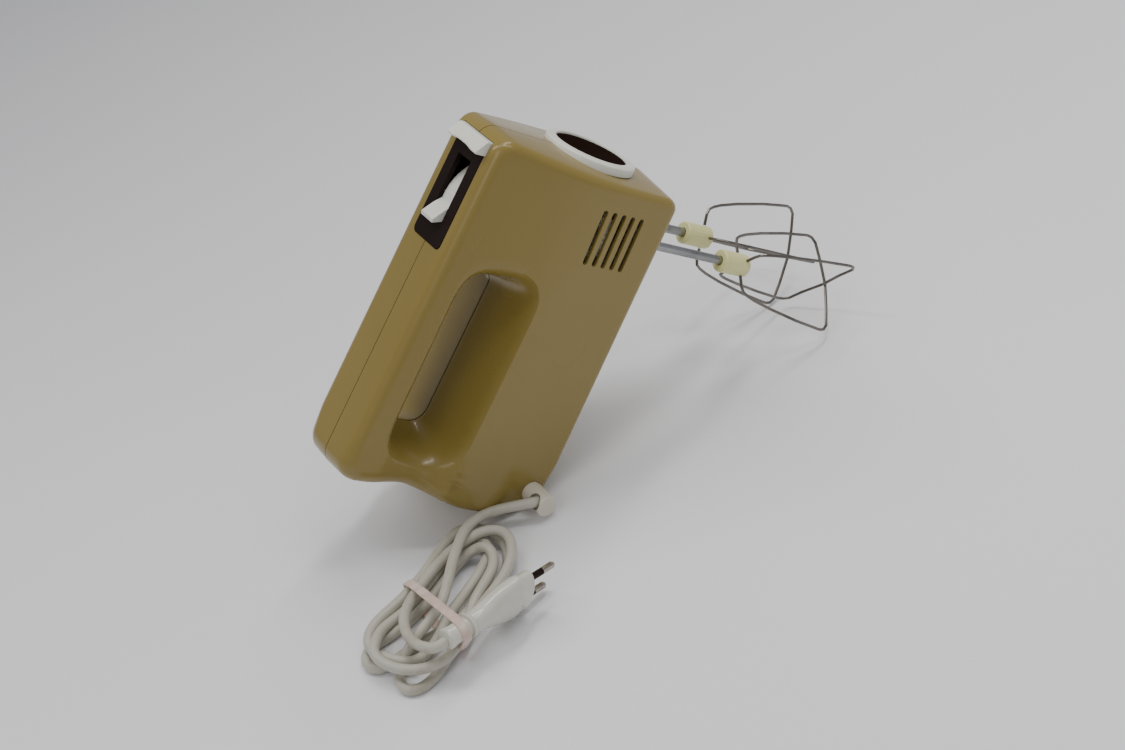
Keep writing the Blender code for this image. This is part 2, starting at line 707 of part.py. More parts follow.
def make_fan():
    fan = along_shaft("cooling_fan", [(7.0, 5.0), (7.0, -3.0), (23.0, -3.0), (23.0, -4.6), (SHAFT_RADIUS + GAP, -4.6),
                                      (SHAFT_RADIUS + GAP, 5.0)][::1], FAN_X, "nylon")
    for k in range(9):
        blade = box(f"fan_blade_tool_{k}", (-4.0, 6.0, -0.6), (4.0, 22.5, 0.6), parent=MIXER)
        blade.data.transform(Matrix.Translation(blade.location))
        blade.location = metres((FAN_X, 0, MOTOR_Z))
        blade.rotation_euler = (2 * math.pi * k / 9, 0, 0)
        join(fan, blade)


def make_bearings():
    bore = SHAFT_RADIUS + GAP
    for name, x in (("bearing_front", -28.0), ("bearing_rear", -126.0)):
        along_shaft(name, ring_profile(bore, 6.5, -3.0, 3.0), x, "brass")
    plate = box("rear_bracket", (-127.5, -22, MOTOR_Z - 18), (-124.5, 22, MOTOR_Z + 20), "nylon", MIXER)
    cut(plate, cylinder("rear_bracket_tool", 6.5 + GAP, 30, (-126, 0, MOTOR_Z), "x", parent=MIXER))
    frame = box("gear_frame", (-29.5, -33, 9.5), (-26.5, 33, 60), "nylon", MIXER)
    join(frame, box("gear_frame_floor", (-29.5, -33, 9.5), (17, 33, 12.5), parent=MIXER),
         box("gear_frame_roof", (-29.5, -31, 55.0), (19, 31, 58.0), parent=MIXER))
    cut(frame, cylinder("gear_frame_tool", 6.5 + GAP, 30, (-28, 0, MOTOR_Z), "x", parent=MIXER))
    for y in (-BEATER_Y, BEATER_Y):
        cut(frame, cylinder(f"spindle_bore_tool_{y:.0f}", 5.7 + GAP, 150, (0, y, 40), parent=MIXER))


def make_brushes():
    x = STATOR_X[0] - 16
    for label, side in (("right", -1), ("left", 1)):
        holder = box(f"brush_holder_{label}", (x - 4.5, side * 16 - 5, MOTOR_Z - 5.0),
                     (x + 4.5, side * 16 + 5, MOTOR_Z + 5.0), "brass", MIXER)
        cut(holder, box(f"brush_tool_{label}", (x - 3.0, side * 16 - 15, MOTOR_Z - 3.3),
                        (x + 3.0, side * 16 + 15, MOTOR_Z + 3.3), parent=MIXER))
        low, high = sorted((side * 9.4, side * 20.0))
        box(f"carbon_brush_{label}", (x - 2.6, low, MOTOR_Z - 3.0), (x + 2.6, high, MOTOR_Z + 3.0), "carbon", MIXER)


def make_drive(label, side):
    """One worm wheel, its spindle and the bush that the spindle leaves the body through."""
    y = side * BEATER_Y
    wheel = outline_prism(f"worm_wheel_{label}", slotted_outline(GEAR_RADIUS, GEAR_RADIUS - 1.4, GEAR_TEETH), 9.0,
                          "nylon", MIXER, (0, y, MOTOR_Z))
    cut(wheel, cylinder(f"wheel_bore_tool_{label}", 5.7 + GAP, 60, (0, y, MOTOR_Z), parent=MIXER))
    turned(f"spindle_{label}", ring_profile(BEATER_SHAFT_RADIUS + GAP, 5.7, -1.5, 60.0), (0, y, 0), "z", "steel",
           MIXER)
    turned(f"spindle_bush_{label}", [(8.0, 6.0), (8.0, -3.4), (5.7 + GAP, -3.4), (5.7 + GAP, 6.0)], (0, y, 0), "z",
           "ivory", MIXER)


# ------------------------------------------------------------------ beaters

def wing_profile():
    """One wing of a beater wire as (radius, z), from the hub out, down and in to the axis."""
    run = [(HUB_RADIUS + GAP, WING_Z), (13.5, WING_Z), (16.6, -79.8), (18.4, -82.6), (20.4, -88.0), (23.4, -100.0),
           (27.3, -121.0), (29.3, -137.0)]
    corner = [(29.6, -140.5), (28.9, -143.6), (26.0, -146.2)]
    return run + corner + [(15.5, -148.2)]


def loop_points(drop):
    """A whole wire: down one wing, across the axis and up the opposite one."""
    wing = wing_profile()
    cross = CAGE_CROSS_Z + drop
    out = [(r, 0.0, z + (drop if r < 20 and z < -140 else 0.0)) for r, z in wing]
    back = [(-x, y, z) for x, y, z in reversed(out)]
    return out + [(0.0, 0.0, cross)] + back


def make_beater(label, side):
    y = side * BEATER_Y
    frame = bpy.data.objects.new(f"beater_frame_{label}", None)
    PARTS.objects.link(frame)
    frame.parent = MIXER
    frame.location = metres((0, y, 0))
    frame.rotation_euler = (0, 0, math.radians(BEATER_PHASE[label]))
    top = 65.6
    turned(f"beater_shaft_{label}", [(0, top), (1.6, top), (BEATER_SHAFT_RADIUS, top - 1.2),
                                     (BEATER_SHAFT_RADIUS, HUB_BOTTOM_Z + 2.0), (0, HUB_BOTTOM_Z + 2.0)],
           (0, 0, 0), "z", "steel", frame, steps=16)
    bore = BEATER_SHAFT_RADIUS + GAP
    floor = HUB_BOTTOM_Z + 2.0 - GAP
    turned(f"beater_hub_{label}", [(0, floor), (bore, floor), (bore, HUB_TOP_Z), (HUB_RADIUS - 0.8, HUB_TOP_Z),
                                   (HUB_RADIUS, HUB_TOP_Z - 0.8), (HUB_RADIUS, HUB_BOTTOM_Z + 2.0),
                                   (HUB_RADIUS - 2.0, HUB_BOTTOM_Z), (0, HUB_BOTTOM_Z)],
           (0, 0, 0), "z", "ivory", frame, steps=20)
    for name, drop, turn in ((f"beater_wire_outer_{label}", 0.0, 0.0),
                             (f"beater_wire_inner_{label}", 2.1, -math.pi / 2)):
        wire(name, loop_points(drop), WIRE_RADIUS, "steel", frame, turn=(0, 0, turn), sides=2)


# ------------------------------------------------------------------ cord

GLAND_HOLE_Y = -50.5


def make_gland():
    """A thimble on the side of the heel, with a hole in its wall where the cord leaves."""
    x, z = GLAND_CENTRE
    bore = GLAND_RADIUS - 1.8
    gland = turned("cord_gland", [(0, 18.0), (GLAND_RADIUS - 1.4, 18.0), (GLAND_RADIUS + 0.4, 16.0),
                                  (GLAND_RADIUS, 0.0), (GLAND_RADIUS, -8.0), (bore, -8.0), (bore, 15.5),
                                  (0, 15.5)], (x, -39.0, z), "y", "white", MIXER, steps=24)
    gland.rotation_euler = (math.pi / 2, 0, 0)
    exit_tool = cylinder("gland_exit_tool", CORD_DIAMETER / 2 + GAP, 12, (0, 0, 0), "x", sides=16)
    exit_tool.parent = CORD
    centre = TO_WORLD @ Vector((x, GLAND_HOLE_Y, z)) - Vector((MIXER_X, MIXER_Y, 0))
    exit_tool.location = metres(centre - Vector((6.5, 0, -0.4)))
    cut(gland, exit_tool)


def make_lead():
    """The cord from the outlet to the hank, and the two-core lead inside from the outlet to the switch."""
    wire("cord_lead", smooth_route(LEAD_ROUTE, 8.0), CORD_DIAMETER / 2, "cord", CORD, sides=3)
    inside = [(-150.0, -29.0, 13.4), (-151.0, -20.0, 20.0), (-153.5, -10.0, 40.0), (-152.5, -6.0, 75.0),
              (-149.0, -4.0, 98.0), (-136.0, 0.0, 113.5), (-100.0, 0.0, 112.0), (-60.0, 0.0, 109.5),
              (-42.0, 0.0, 105.5), (-34.0, 0.0, 92.0), (-30.0, 0.0, 84.5)]
    wire("inner_lead", smooth_route(inside, 10.0), 2.0, "cord", MIXER, sides=2)


def stadium(length, width, steps=10):
    """An outline with round ends, centred, its long side along x."""
    radius = width / 2
    reach = length / 2 - radius
    points = []
    for end, start in ((1, -math.pi / 2), (-1, math.pi / 2)):
        for k in range(steps + 1):
            angle = start + math.pi * k / steps
            points.append((end * reach + radius * math.cos(angle), radius * math.sin(angle)))
    return points


def make_hank():
    height = HANK_HIGH - HANK_LOW
    hank = outline_prism("cord_hank", stadium(HANK_LENGTH, HANK_WIDTH), height, "cord", CORD,
                         (*HANK_CENTRE, HANK_LOW + height / 2), (0, 0, HANK_ANGLE))
    bevel(hank, HANK_EDGE, 3)


def hull_of_circles(circles, steps=24):
    """The convex outline round circles given as (x, y, radius)."""
    dots = sorted((x + r * math.cos(2 * math.pi * k / steps), y + r * math.sin(2 * math.pi * k / steps))
                  for x, y, r in circles for k in range(steps))
    halves = []
    for order in (dots, dots[::-1]):
        chain = []
        for dot in order:
            while len(chain) > 1 and turn_of(chain[-2], chain[-1], dot) <= 0:
                chain.pop()
            chain.append(dot)
        halves += chain[:-1]
    return halves


def turn_of(a, b, c):
    return (b[0] - a[0]) * (c[1] - a[1]) - (b[1] - a[1]) * (c[0] - a[0])


def plug_point(back):
    """A point on the plug's axis, that far behind its face."""
    return Vector(PLUG_FACE) - back * Vector(PLUG_AXIS).normalized()


def make_band():
    """The rubber band round the hank and the plug's strain relief, upright and across the x axis."""
    back = (PLUG_FACE[0] - BAND_X) / PLUG_AXIS[0]
    relief = plug_point(back)
    slope = math.tan(HANK_ANGLE)
    middle = HANK_CENTRE[1] + (BAND_X - HANK_CENTRE[0]) * slope
    reach = HANK_WIDTH / 2 / math.cos(HANK_ANGLE) + BAND_WIDTH / 2 * slope + 2 * GAP
    corner = HANK_EDGE - GAP
    low, high = HANK_LOW - GAP + corner, HANK_HIGH + GAP - corner
    near, far = middle - reach + corner, middle + reach - corner
    circles = [(relief.y, relief.z, RELIEF_RADIUS + 2.0), (near, low, corner), (far, low, corner), (far, high, corner)]
    inner = hull_of_circles(circles)
    outer = hull_of_circles([(x, y, r + BAND_THICKNESS) for x, y, r in circles])
    outline_prism("rubber_band", outer, BAND_WIDTH, "band", CORD, (BAND_X, 0, 0), (math.pi / 2, 0, math.pi / 2),
                  hole=inner)


# half sizes of the plug across both ways, and how square the section is, by distance behind the face
PLUG_SECTIONS = [(0.0, 17.4, 6.6, 0.9), (1.0, 17.7, 6.9, 0.9), (5.0, 17.7, 6.9, 0.9), (6.0, 16.4, 6.6, 0.7),
                 (14.0, 15.6, 6.7, 0.6), (22.0, 12.6, 6.8, 0.4), (30.0, 9.0, 6.9, 0.15), (37.0, 7.0, 6.8, 0.0),
                 (45.0, 6.3, 6.3, 0.0), (57.0, RELIEF_RADIUS, RELIEF_RADIUS, 0.0)]


def plug_section(half_across, half_thick, squareness, sides=24):
    """A closed section between an ellipse (0) and a flat hexagon with soft corners (1)."""
    points = []
    for k in range(sides):
        angle = 2 * math.pi * (k + 0.5) / sides
        c, s = math.cos(angle), math.sin(angle)
        hexagon = 1 / max(abs(s) * 1.0, abs(c) * 1.0, abs(c) * 0.77 + abs(s) * 0.62)
        reach = (1 - squareness) + squareness * hexagon
        points.append((half_across * c * min(reach, 1.35), half_thick * s * min(reach, 1.35)))
    return points


def plug_build(bm):
    rings = [[bm.verts.new((x, y, -back)) for x, y in plug_section(*rest)] for back, *rest in PLUG_SECTIONS]
    for ring, following in zip(rings, rings[1:]):
        for k in range(len(ring)):
            after = (k + 1) % len(ring)
            bm.faces.new((ring[k], ring[after], following[after], following[k]))
    bm.faces.new(rings[0])
    bm.faces.new(rings[-1])


def make_plug():
    frame = bpy.data.objects.new("plug_frame", None)
    PARTS.objects.link(frame)
    frame.parent = CORD
    frame.location = metres(PLUG_FACE)
    z_axis = Vector(PLUG_AXIS).normalized()
    y_axis = z_axis.cross(Vector(PLUG_ACROSS)).normalized()
    frame.rotation_euler = Matrix((y_axis.cross(z_axis), y_axis, z_axis)).transposed().to_euler()
    body = add_object("plug_body", mesh_from("plug_body", plug_build), "white", frame)
    for label, x in (("upper", -PIN_SPACING / 2), ("lower", PIN_SPACING / 2)):
        cut(body, cylinder(f"pin_hole_{label}", 1.7, 16, (x, 0, 0), parent=frame, sides=12))
        turned(f"plug_pin_{label}", [(0, PIN_LENGTH), (1.2, PIN_LENGTH), (2.0, PIN_LENGTH - 1.3),
                                     (2.0, SLEEVE_LENGTH + GAP), (1.3, SLEEVE_LENGTH + GAP), (1.3, -7.5), (0, -7.5)],
               (x, 0, 0), "z", "plated", frame, steps=12)
        turned(f"plug_sleeve_{label}", ring_profile(1.6, 2.0, GAP, SLEEVE_LENGTH), (x, 0, 0), "z", "dark", frame,
               steps=12)


def main():
    make_housing()
    make_switch_panel()
    make_speed_lever()
    make_switch_block()
    make_ejector()
    make_front()
    make_stator()
    make_armature()
    make_bearings()
    make_brushes()
    for label, side in (("right", -1), ("left", 1)):
        make_drive(label, side)
        make_beater(label, side)
    make_gland()
    make_lead()
    make_hank()
    make_band()
    make_plug()


main()
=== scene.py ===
"""Looks of the hand mixer: fine surfaces, materials, cord, floor, light and camera.

Shapes on the mixer are worked out in its own frame, in millimetres: x runs from the heel to the nose, z up
along the beater axes with 0 at the bottom of the nose, y sideways with the cord outlet at -y. The mixer
rests nose up, pitched about y, and TO_WORLD carries points from that frame to the world, in metres.
"""
import json
import math

import bmesh
import bpy
import numpy as np
from mathutils import Matrix, Vector

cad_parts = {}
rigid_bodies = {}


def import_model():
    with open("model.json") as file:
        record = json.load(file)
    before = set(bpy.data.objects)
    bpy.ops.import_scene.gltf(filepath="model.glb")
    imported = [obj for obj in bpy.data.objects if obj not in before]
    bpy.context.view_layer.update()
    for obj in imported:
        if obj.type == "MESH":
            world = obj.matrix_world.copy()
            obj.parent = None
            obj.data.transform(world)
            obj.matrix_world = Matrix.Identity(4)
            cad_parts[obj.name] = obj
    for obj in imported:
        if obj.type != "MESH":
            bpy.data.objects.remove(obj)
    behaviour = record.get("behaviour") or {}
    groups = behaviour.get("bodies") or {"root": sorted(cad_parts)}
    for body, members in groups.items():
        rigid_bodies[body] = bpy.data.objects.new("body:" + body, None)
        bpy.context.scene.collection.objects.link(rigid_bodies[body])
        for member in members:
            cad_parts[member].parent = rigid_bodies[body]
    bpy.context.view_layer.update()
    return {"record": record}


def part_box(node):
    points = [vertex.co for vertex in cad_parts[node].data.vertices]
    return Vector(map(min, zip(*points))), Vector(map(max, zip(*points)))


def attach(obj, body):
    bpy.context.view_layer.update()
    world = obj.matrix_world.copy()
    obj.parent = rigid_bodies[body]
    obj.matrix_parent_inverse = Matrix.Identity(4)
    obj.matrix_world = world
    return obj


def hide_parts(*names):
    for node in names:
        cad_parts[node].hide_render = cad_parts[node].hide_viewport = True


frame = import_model()
MM = 0.001

# ---- where the mixer rests, as in the CAD ----
PITCH = math.radians(49.8524)
REST = (36.8, -3.5, 115.671)
TO_WORLD = (Matrix.Scale(MM, 4) @ Matrix.Translation(REST) @ Matrix.Rotation(-PITCH, 4, "Y"))

# ---- body, in the mixer's frame ----
NOSE_X = 37.0
BODY_HALF_WIDTH = 41.0
BOTTOM_HALF_WIDTH = 39.5
TOP_HALF_WIDTH = 22.0
TOP_AT_ZERO, TOP_SLOPE = 118.9, -0.058
CREASE_AT_ZERO, CREASE_SLOPE = 61.5, -0.05
WALL = 2.2
PARTING = 0.25
SLOT_PARTING = 0.5
VALLEY_DEPTH = 6.5
BEATER_Y = 19.0

# ---- camera ----
CAMERA_PLACE = (-452.8, -1028.1, 929.2)
CAMERA_RIGHT = (0.8342, -0.5181, -0.1890)
CAMERA_UP = (0.4594, 0.4630, 0.7580)
CAMERA_BACK = (-0.3052, -0.7191, 0.6242)
LENS = 80.0

# ---- cord: its route from the outlet to the plug, in the hank's frame ----
# (along the hank from its end near the mixer, across it towards the plug's side, up), in millimetres
CORD_DIAMETER = 5.9
HANK_PLACE = (-97.2, -61.5)
HANK_ANGLE = math.radians(23.9)
CORD_ROUTE = [
    # from the outlet over the top of the hank, under the band and down to the far end
    (-16.5, -5, 12.6), (-11, -11.3, 13.2), (-4.5, -17.6, 13.6), (2, -20, 14.6), (12, -18, 16.6),
    (23, -15, 17.2), (35, -10, 17.2), (46, -5, 16.6), (56, 0, 15.6), (64, 3.5, 15), (72, 5, 14.5),
    (79, 3, 12.5), (89, 0, 9), (99, 0, 6), (108, 2.5, 4.2), (115, 7, 3.2),
    # first turn: far end, right side, short inner loop, left side
    (118.5, 12.5, 2.8), (117.5, 19, 2.8), (112.5, 23, 3), (104, 24, 3.6), (94, 23, 4),
    (80, 20.5, 4.4), (65, 17, 4.6), (52, 13.5, 6.5), (42, 11.5, 8.8), (29, 11, 9.6), (19, 6, 9.6),
    (14, -2, 9.6), (15, -9, 9.4), (24, -14, 7), (38, -15, 4.8), (55, -14, 4.4), (72, -14.5, 4.4),
    (88, -19, 3.6), (99, -23, 3.2),
    # second turn: lowest loop, middle, wide loop near the mixer, left edge
    (106, -22.5, 2.8), (112.5, -17, 2.8), (114, -10.5, 2.8), (110.5, -5.5, 2.8), (100, -3, 3),
    (85, 1.5, 3.8), (70, 8, 4.4), (57, 10.5, 4.2), (49, 12.5, 3.6), (37, 15, 3.2), (23, 13.6, 3.2),
    (11, 8.3, 3.4), (4, 0.5, 3.8), (0, -9, 4.4), (0, -18.5, 5.4), (3, -26.4, 7), (9, -29.2, 8.4),
    (19, -28.5, 9.6), (31, -26, 10), (42, -24, 10), (53, -22.8, 9.8), (60, -22.5, 9.4),
    (71, -22.5, 9), (81, -25.4, 9), (89, -28.2, 9), (97.6, -25.5, 9.3),
    # a lower turn inside the others
    (103.5, -18.5, 7), (107, -9, 5), (106, 2, 4.6), (100, 8.6, 4.6), (90, 11, 5), (75, 9, 6),
    (60, 6, 6.5), (45, 4, 7), (32, 4, 8), (22, 1, 8.6), (12, -3, 8.2), (7, -10, 7.6), (9, -18, 7.6),
    (18, -22, 7.4), (30, -21, 7), (45, -19, 7), (60, -19, 6.6), (75, -19.5, 6.6), (88, -22, 7.4),
    (97.5, -20.5, 8.6),
    # third turn: big loop over the far end, right side under the plug, highest loop near the mixer
    (105.5, -17, 9.8), (110.7, -5, 10.6), (112, 7, 12), (111, 17.3, 13.4), (105, 25.7, 14),
    (98, 29, 13.6), (89.7, 29.5, 12.4), (78, 25, 10.8), (64, 20.5, 9.8), (50, 18.6, 8.6),
    (38, 18.8, 8.2), (26, 17.6, 8.4), (17, 15, 9.2), (7.3, 10, 10.8), (1, 1.6, 12), (0.8, -5.8, 12.2),
    (5.5, -10.7, 11.6), (12.5, -15.3, 10.8),
    # last half turn: left side, and the small loop into the plug's strain relief
    (20, -18.8, 11), (28, -19.6, 12), (38, -18.6, 13), (49, -18.4, 13.2), (59, -16.6, 13.6),
    (68, -15, 14.6), (76, -13.4, 15.4), (86, -7.4, 16.6), (94, 2, 18), (99.8, 13.5, 20.4),
    (101, 23.2, 23.4), (97.8, 29.6, 26), (91.5, 32, 27.1),
]
CORD_SPACING = 2.2
HELD_POINTS = 6

# ---- what the cord passes: gland, plug and band, in the world's millimetres ----
GLAND_HOLE_WAY = (-0.78, -0.30, 0.55)
GLAND_HOLE_BACK = 7.0
GLAND_BORE_RADIUS = 4.7
PIN_NODES = ("plug_pin_upper", "plug_pin_lower", "plug_sleeve_upper", "plug_sleeve_lower")
PLUG_FACE = (-116.7, -114.5, 16.8)
PLUG_AXIS = (0.949, 0.248, -0.196)
PLUG_ACROSS = (-0.278, 0.358, -0.891)
PLUG_NECK_RADIUS = 5.6
BAND_PLACE = -160.5
BAND_HALF_WIDTH = 2.7
BAND_HALF_THICKNESS = 0.8
BAND_CLEARANCE = 0.1


# ------------------------------------------------------------------ scene helpers

def add_object(name, data):
    obj = bpy.data.objects.new(name, data)
    bpy.context.scene.collection.objects.link(obj)
    return obj


def mesh_object(name, bm, smooth_angle=35):
    """An object from a bmesh in metres, shaded smooth but for its sharp edges."""
    bmesh.ops.recalc_face_normals(bm, faces=bm.faces)
    mesh = bpy.data.meshes.new(name)
    bm.to_mesh(mesh)
    bm.free()
    mesh.shade_smooth()
    mesh.set_sharp_from_angle(angle=math.radians(smooth_angle))
    return add_object(name, mesh)


def apply_modifiers(obj):
    """Bakes an object's modifiers into its mesh."""
    graph = bpy.context.evaluated_depsgraph_get()
    mesh = bpy.data.meshes.new_from_object(obj.evaluated_get(graph))
    obj.modifiers.clear()
    obj.data = mesh


def remove(*objects):
    for obj in objects:
        bpy.data.objects.remove(obj, do_unlink=True)


def in_mixer(bm):
    """Carries a bmesh from the mixer's frame in millimetres to the world."""
    bm.transform(TO_WORLD)
    return bm


def cut(obj, tool):
    """Takes a tool's shape out of an object, once its modifiers are applied."""
    modifier = obj.modifiers.new("cut", "BOOLEAN")
    modifier.operation = "DIFFERENCE"
    modifier.object = tool
    modifier.solver = "EXACT"


def bevel(obj, width, segments, angle):
    """Rounds the edges sharper than an angle in degrees; the width is in millimetres."""
    modifier = obj.modifiers.new("round", "BEVEL")
    modifier.width = width * MM
    modifier.segments = segments
    modifier.limit_method = "ANGLE"
    modifier.angle_limit = math.radians(angle)


def bridge(bm, ring, following):
    """Faces between two closed rings with equally many corners; corners that coincide are taken once."""
    for k in range(len(ring)):
        after = (k + 1) % len(ring)
        corners = dict.fromkeys((ring[k], ring[after], following[after], following[k]))
        bm.faces.new(list(corners))


def dress(obj, material):
    obj.data.materials.clear()
    obj.data.materials.append(material)


# ------------------------------------------------------------------ materials

class Nodes:
    """A material's node tree, with short calls for the few nodes that it needs."""

    def __init__(self, name):
        self.material = bpy.data.materials.new(name)
        self.material.use_nodes = True
        self.tree = self.material.node_tree
        self.shader = self.tree.nodes["Principled BSDF"]
        coordinates = self.tree.nodes.new("ShaderNodeTexCoord")
        self.place = coordinates.outputs["Object"]

    def link(self, output, socket):
        self.tree.links.new(output, socket)

    def noise(self, scale, detail=3.0, roughness=0.5, stretch=None):
        node = self.tree.nodes.new("ShaderNodeTexNoise")
        node.inputs["Scale"].default_value = scale
        node.inputs["Detail"].default_value = detail
        node.inputs["Roughness"].default_value = roughness
        place = self.place
        if stretch:
            mapping = self.tree.nodes.new("ShaderNodeMapping")
            mapping.inputs["Scale"].default_value = stretch
            self.link(place, mapping.inputs["Vector"])
            place = mapping.outputs["Vector"]
        self.link(place, node.inputs["Vector"])
        return node.outputs["Fac"]

    def between(self, value, low, high, first, last):
        node = self.tree.nodes.new("ShaderNodeMapRange")
        node.interpolation_type = "SMOOTHSTEP"
        for key, number in (("From Min", low), ("From Max", high), ("To Min", first), ("To Max", last)):
            node.inputs[key].default_value = number
        self.link(value, node.inputs["Value"])
        return node.outputs["Result"]

    def mix(self, factor, first, second):
        node = self.tree.nodes.new("ShaderNodeMix")
        node.data_type = "RGBA"
        for socket, value in ((node.inputs[6], first), (node.inputs[7], second)):
            if isinstance(value, tuple):
                socket.default_value = (*value, 1.0)
            else:
                self.link(value, socket)
        self.link(factor, node.inputs[0])
        return node.outputs[2]

    def bump(self, height, distance, strength=1.0):
        node = self.tree.nodes.new("ShaderNodeBump")
        node.inputs["Distance"].default_value = distance
        node.inputs["Strength"].default_value = strength
        self.link(height, node.inputs["Height"])
        self.link(node.outputs["Normal"], self.shader.inputs["Normal"])


def plastic(name, colour, second, roughness, patch=9.0, speck=None, coat=0.0, grain=0.00002, shine=0.5):
    """Moulded plastic: slow drift between two tints, fine orange peel, uneven gloss, specks if given."""
    nodes = Nodes(name)
    drift = nodes.between(nodes.noise(patch, 4.0, 0.55), 0.2, 0.8, 0.0, 1.0)
    tint = nodes.mix(drift, colour, second)
    if speck:
        dots = nodes.between(nodes.noise(300.0, 2.0, 0.6), 0.76, 0.80, 0.0, 0.6)
        tint = nodes.mix(dots, tint, speck)
    nodes.link(tint, nodes.shader.inputs["Base Color"])
    smudge = nodes.between(nodes.noise(22.0, 2.0, 0.5), 0.15, 0.85, roughness - 0.03, roughness + 0.05)
    nodes.link(smudge, nodes.shader.inputs["Roughness"])
    nodes.shader.inputs["Coat Weight"].default_value = coat
    nodes.shader.inputs["Coat Roughness"].default_value = 0.07
    nodes.shader.inputs["Specular IOR Level"].default_value = shine
    nodes.bump(nodes.noise(1400.0, 2.0), grain)
    return nodes.material


def metal(name, colour, second, roughness, stretch=(1, 1, 1), grain=0.00002, scale=500.0):
    """Bare metal: drawing lines along its length, tarnish in patches."""
    nodes = Nodes(name)
    patches = nodes.between(nodes.noise(60.0, 4.0, 0.6), 0.4, 0.7, 0.0, 1.0)
    nodes.link(nodes.mix(patches, colour, second), nodes.shader.inputs["Base Color"])
    nodes.shader.inputs["Metallic"].default_value = 1.0
    lines = nodes.noise(scale, 3.0, 0.6, stretch)
    gloss = nodes.between(lines, 0.3, 0.7, roughness - 0.06, roughness + 0.1)
    nodes.link(gloss, nodes.shader.inputs["Roughness"])
    nodes.bump(lines, grain)
    return nodes.material


def cord_skin():
    """Soft PVC: greyish, dirtier in patches, with a low sheen."""
    nodes = Nodes("cord_pvc")
    dirt = nodes.between(nodes.noise(45.0, 5.0, 0.65), 0.45, 0.75, 0.0, 1.0)
    nodes.link(nodes.mix(dirt, (0.51, 0.485, 0.41), (0.39, 0.36, 0.28)), nodes.shader.inputs["Base Color"])
    nodes.link(nodes.between(nodes.noise(90.0, 3.0), 0.3, 0.7, 0.36, 0.48), nodes.shader.inputs["Roughness"])
    nodes.bump(nodes.noise(700.0, 3.0), 0.00004)
    return nodes.material


def band_skin():
    """Old rubber band: dusty, with fine cross lines."""
    nodes = Nodes("rubber_band")
    dust = nodes.between(nodes.noise(160.0, 4.0), 0.4, 0.7, 0.0, 1.0)
    nodes.link(nodes.mix(dust, (0.63, 0.47, 0.40), (0.72, 0.59, 0.52)), nodes.shader.inputs["Base Color"])
    nodes.shader.inputs["Roughness"].default_value = 0.62
    nodes.bump(nodes.noise(900.0, 2.0), 0.00006)
    return nodes.material


BEIGE = plastic("beige_plastic", (0.268, 0.196, 0.047), (0.250, 0.180, 0.041), 0.24, coat=0.15, shine=0.42)
DARK = plastic("dark_plastic", (0.013, 0.007, 0.005), (0.018, 0.010, 0.008), 0.26, patch=30.0,
               grain=0.00001, shine=0.1)
WHITE = plastic("white_plastic", (0.80, 0.80, 0.73), (0.74, 0.73, 0.64), 0.30, patch=60.0)
IVORY = plastic("ivory_plastic", (0.80, 0.78, 0.37), (0.75, 0.72, 0.33), 0.42, patch=80.0)
NYLON = plastic("nylon", (0.70, 0.69, 0.62), (0.66, 0.64, 0.56), 0.48)
PLUG_SKIN = plastic("plug_plastic", (0.66, 0.65, 0.57), (0.60, 0.59, 0.50), 0.22, patch=70.0,
                    speck=(0.3, 0.28, 0.2), coat=0.4)
GLAND_SKIN = plastic("gland_plastic", (0.66, 0.60, 0.47), (0.68, 0.66, 0.57), 0.35, patch=90.0)
CAP = plastic("cap_plastic", (0.013, 0.007, 0.005), (0.018, 0.010, 0.008), 0.35, patch=30.0,
              grain=0.00001, shine=0.0)
BLACK = plastic("black_plastic", (0.012, 0.012, 0.016), (0.02, 0.02, 0.024), 0.4, patch=80.0)
STEEL = metal("steel", (0.34, 0.34, 0.35), (0.23, 0.23, 0.23), 0.32, (1, 1, 0.05))
WIRE = metal("wire_steel", (0.22, 0.20, 0.18), (0.12, 0.11, 0.10), 0.34)
PLATED = metal("plated_pin", (0.47, 0.42, 0.37), (0.26, 0.22, 0.19), 0.22)
IRON = metal("iron", (0.25, 0.25, 0.26), (0.2, 0.2, 0.2), 0.45)
COPPER = metal("copper", (0.55, 0.24, 0.11), (0.45, 0.19, 0.09), 0.35)
BRASS = metal("brass", (0.6, 0.45, 0.18), (0.5, 0.37, 0.15), 0.33)
CORD_SKIN = cord_skin()
BAND_SKIN = band_skin()

FINISHES = {
    "beige_plastic": BEIGE,
    "dark_plastic": DARK,
    "white_plastic": WHITE,
    "ivory_plastic": IVORY,
    "steel": STEEL,
    "plated_pin": PLATED,
    "iron": IRON,
    "copper": COPPER,
    "carbon": BLACK,
    "brass": BRASS,
    "nylon": NYLON,
    "cord_pvc": CORD_SKIN,
    "rubber_band": BAND_SKIN,
}


def dress_cad_nodes():
    for part in frame["record"]["subparts"]:
        node = bpy.data.objects[part["node"]]
        finish = WIRE if "_wire_" in part["node"] else FINISHES[part["material_slot"]]
        for slot in node.material_slots:
            slot.material = finish


# ------------------------------------------------------------------ curves and outlines

def smooth_route(points, spacing):
    """Evenly spaced points on a smooth curve through the given ones (Catmull-Rom)."""
    places = [Vector(p) for p in points]
    padded = [2 * places[0] - places[1], *places, 2 * places[-1] - places[-2]]
    dense = []
    for a, b, c, d in zip(padded, padded[1:], padded[2:], padded[3:]):
        for k in range(16):
            t = k / 16
            dense.append(0.5 * (2 * b + (c - a) * t + (2 * a - 5 * b + 4 * c - d) * t * t
                                + (3 * b - a - 3 * c + d) * t ** 3))
    dense.append(places[-1])
    return evenly(dense, spacing)


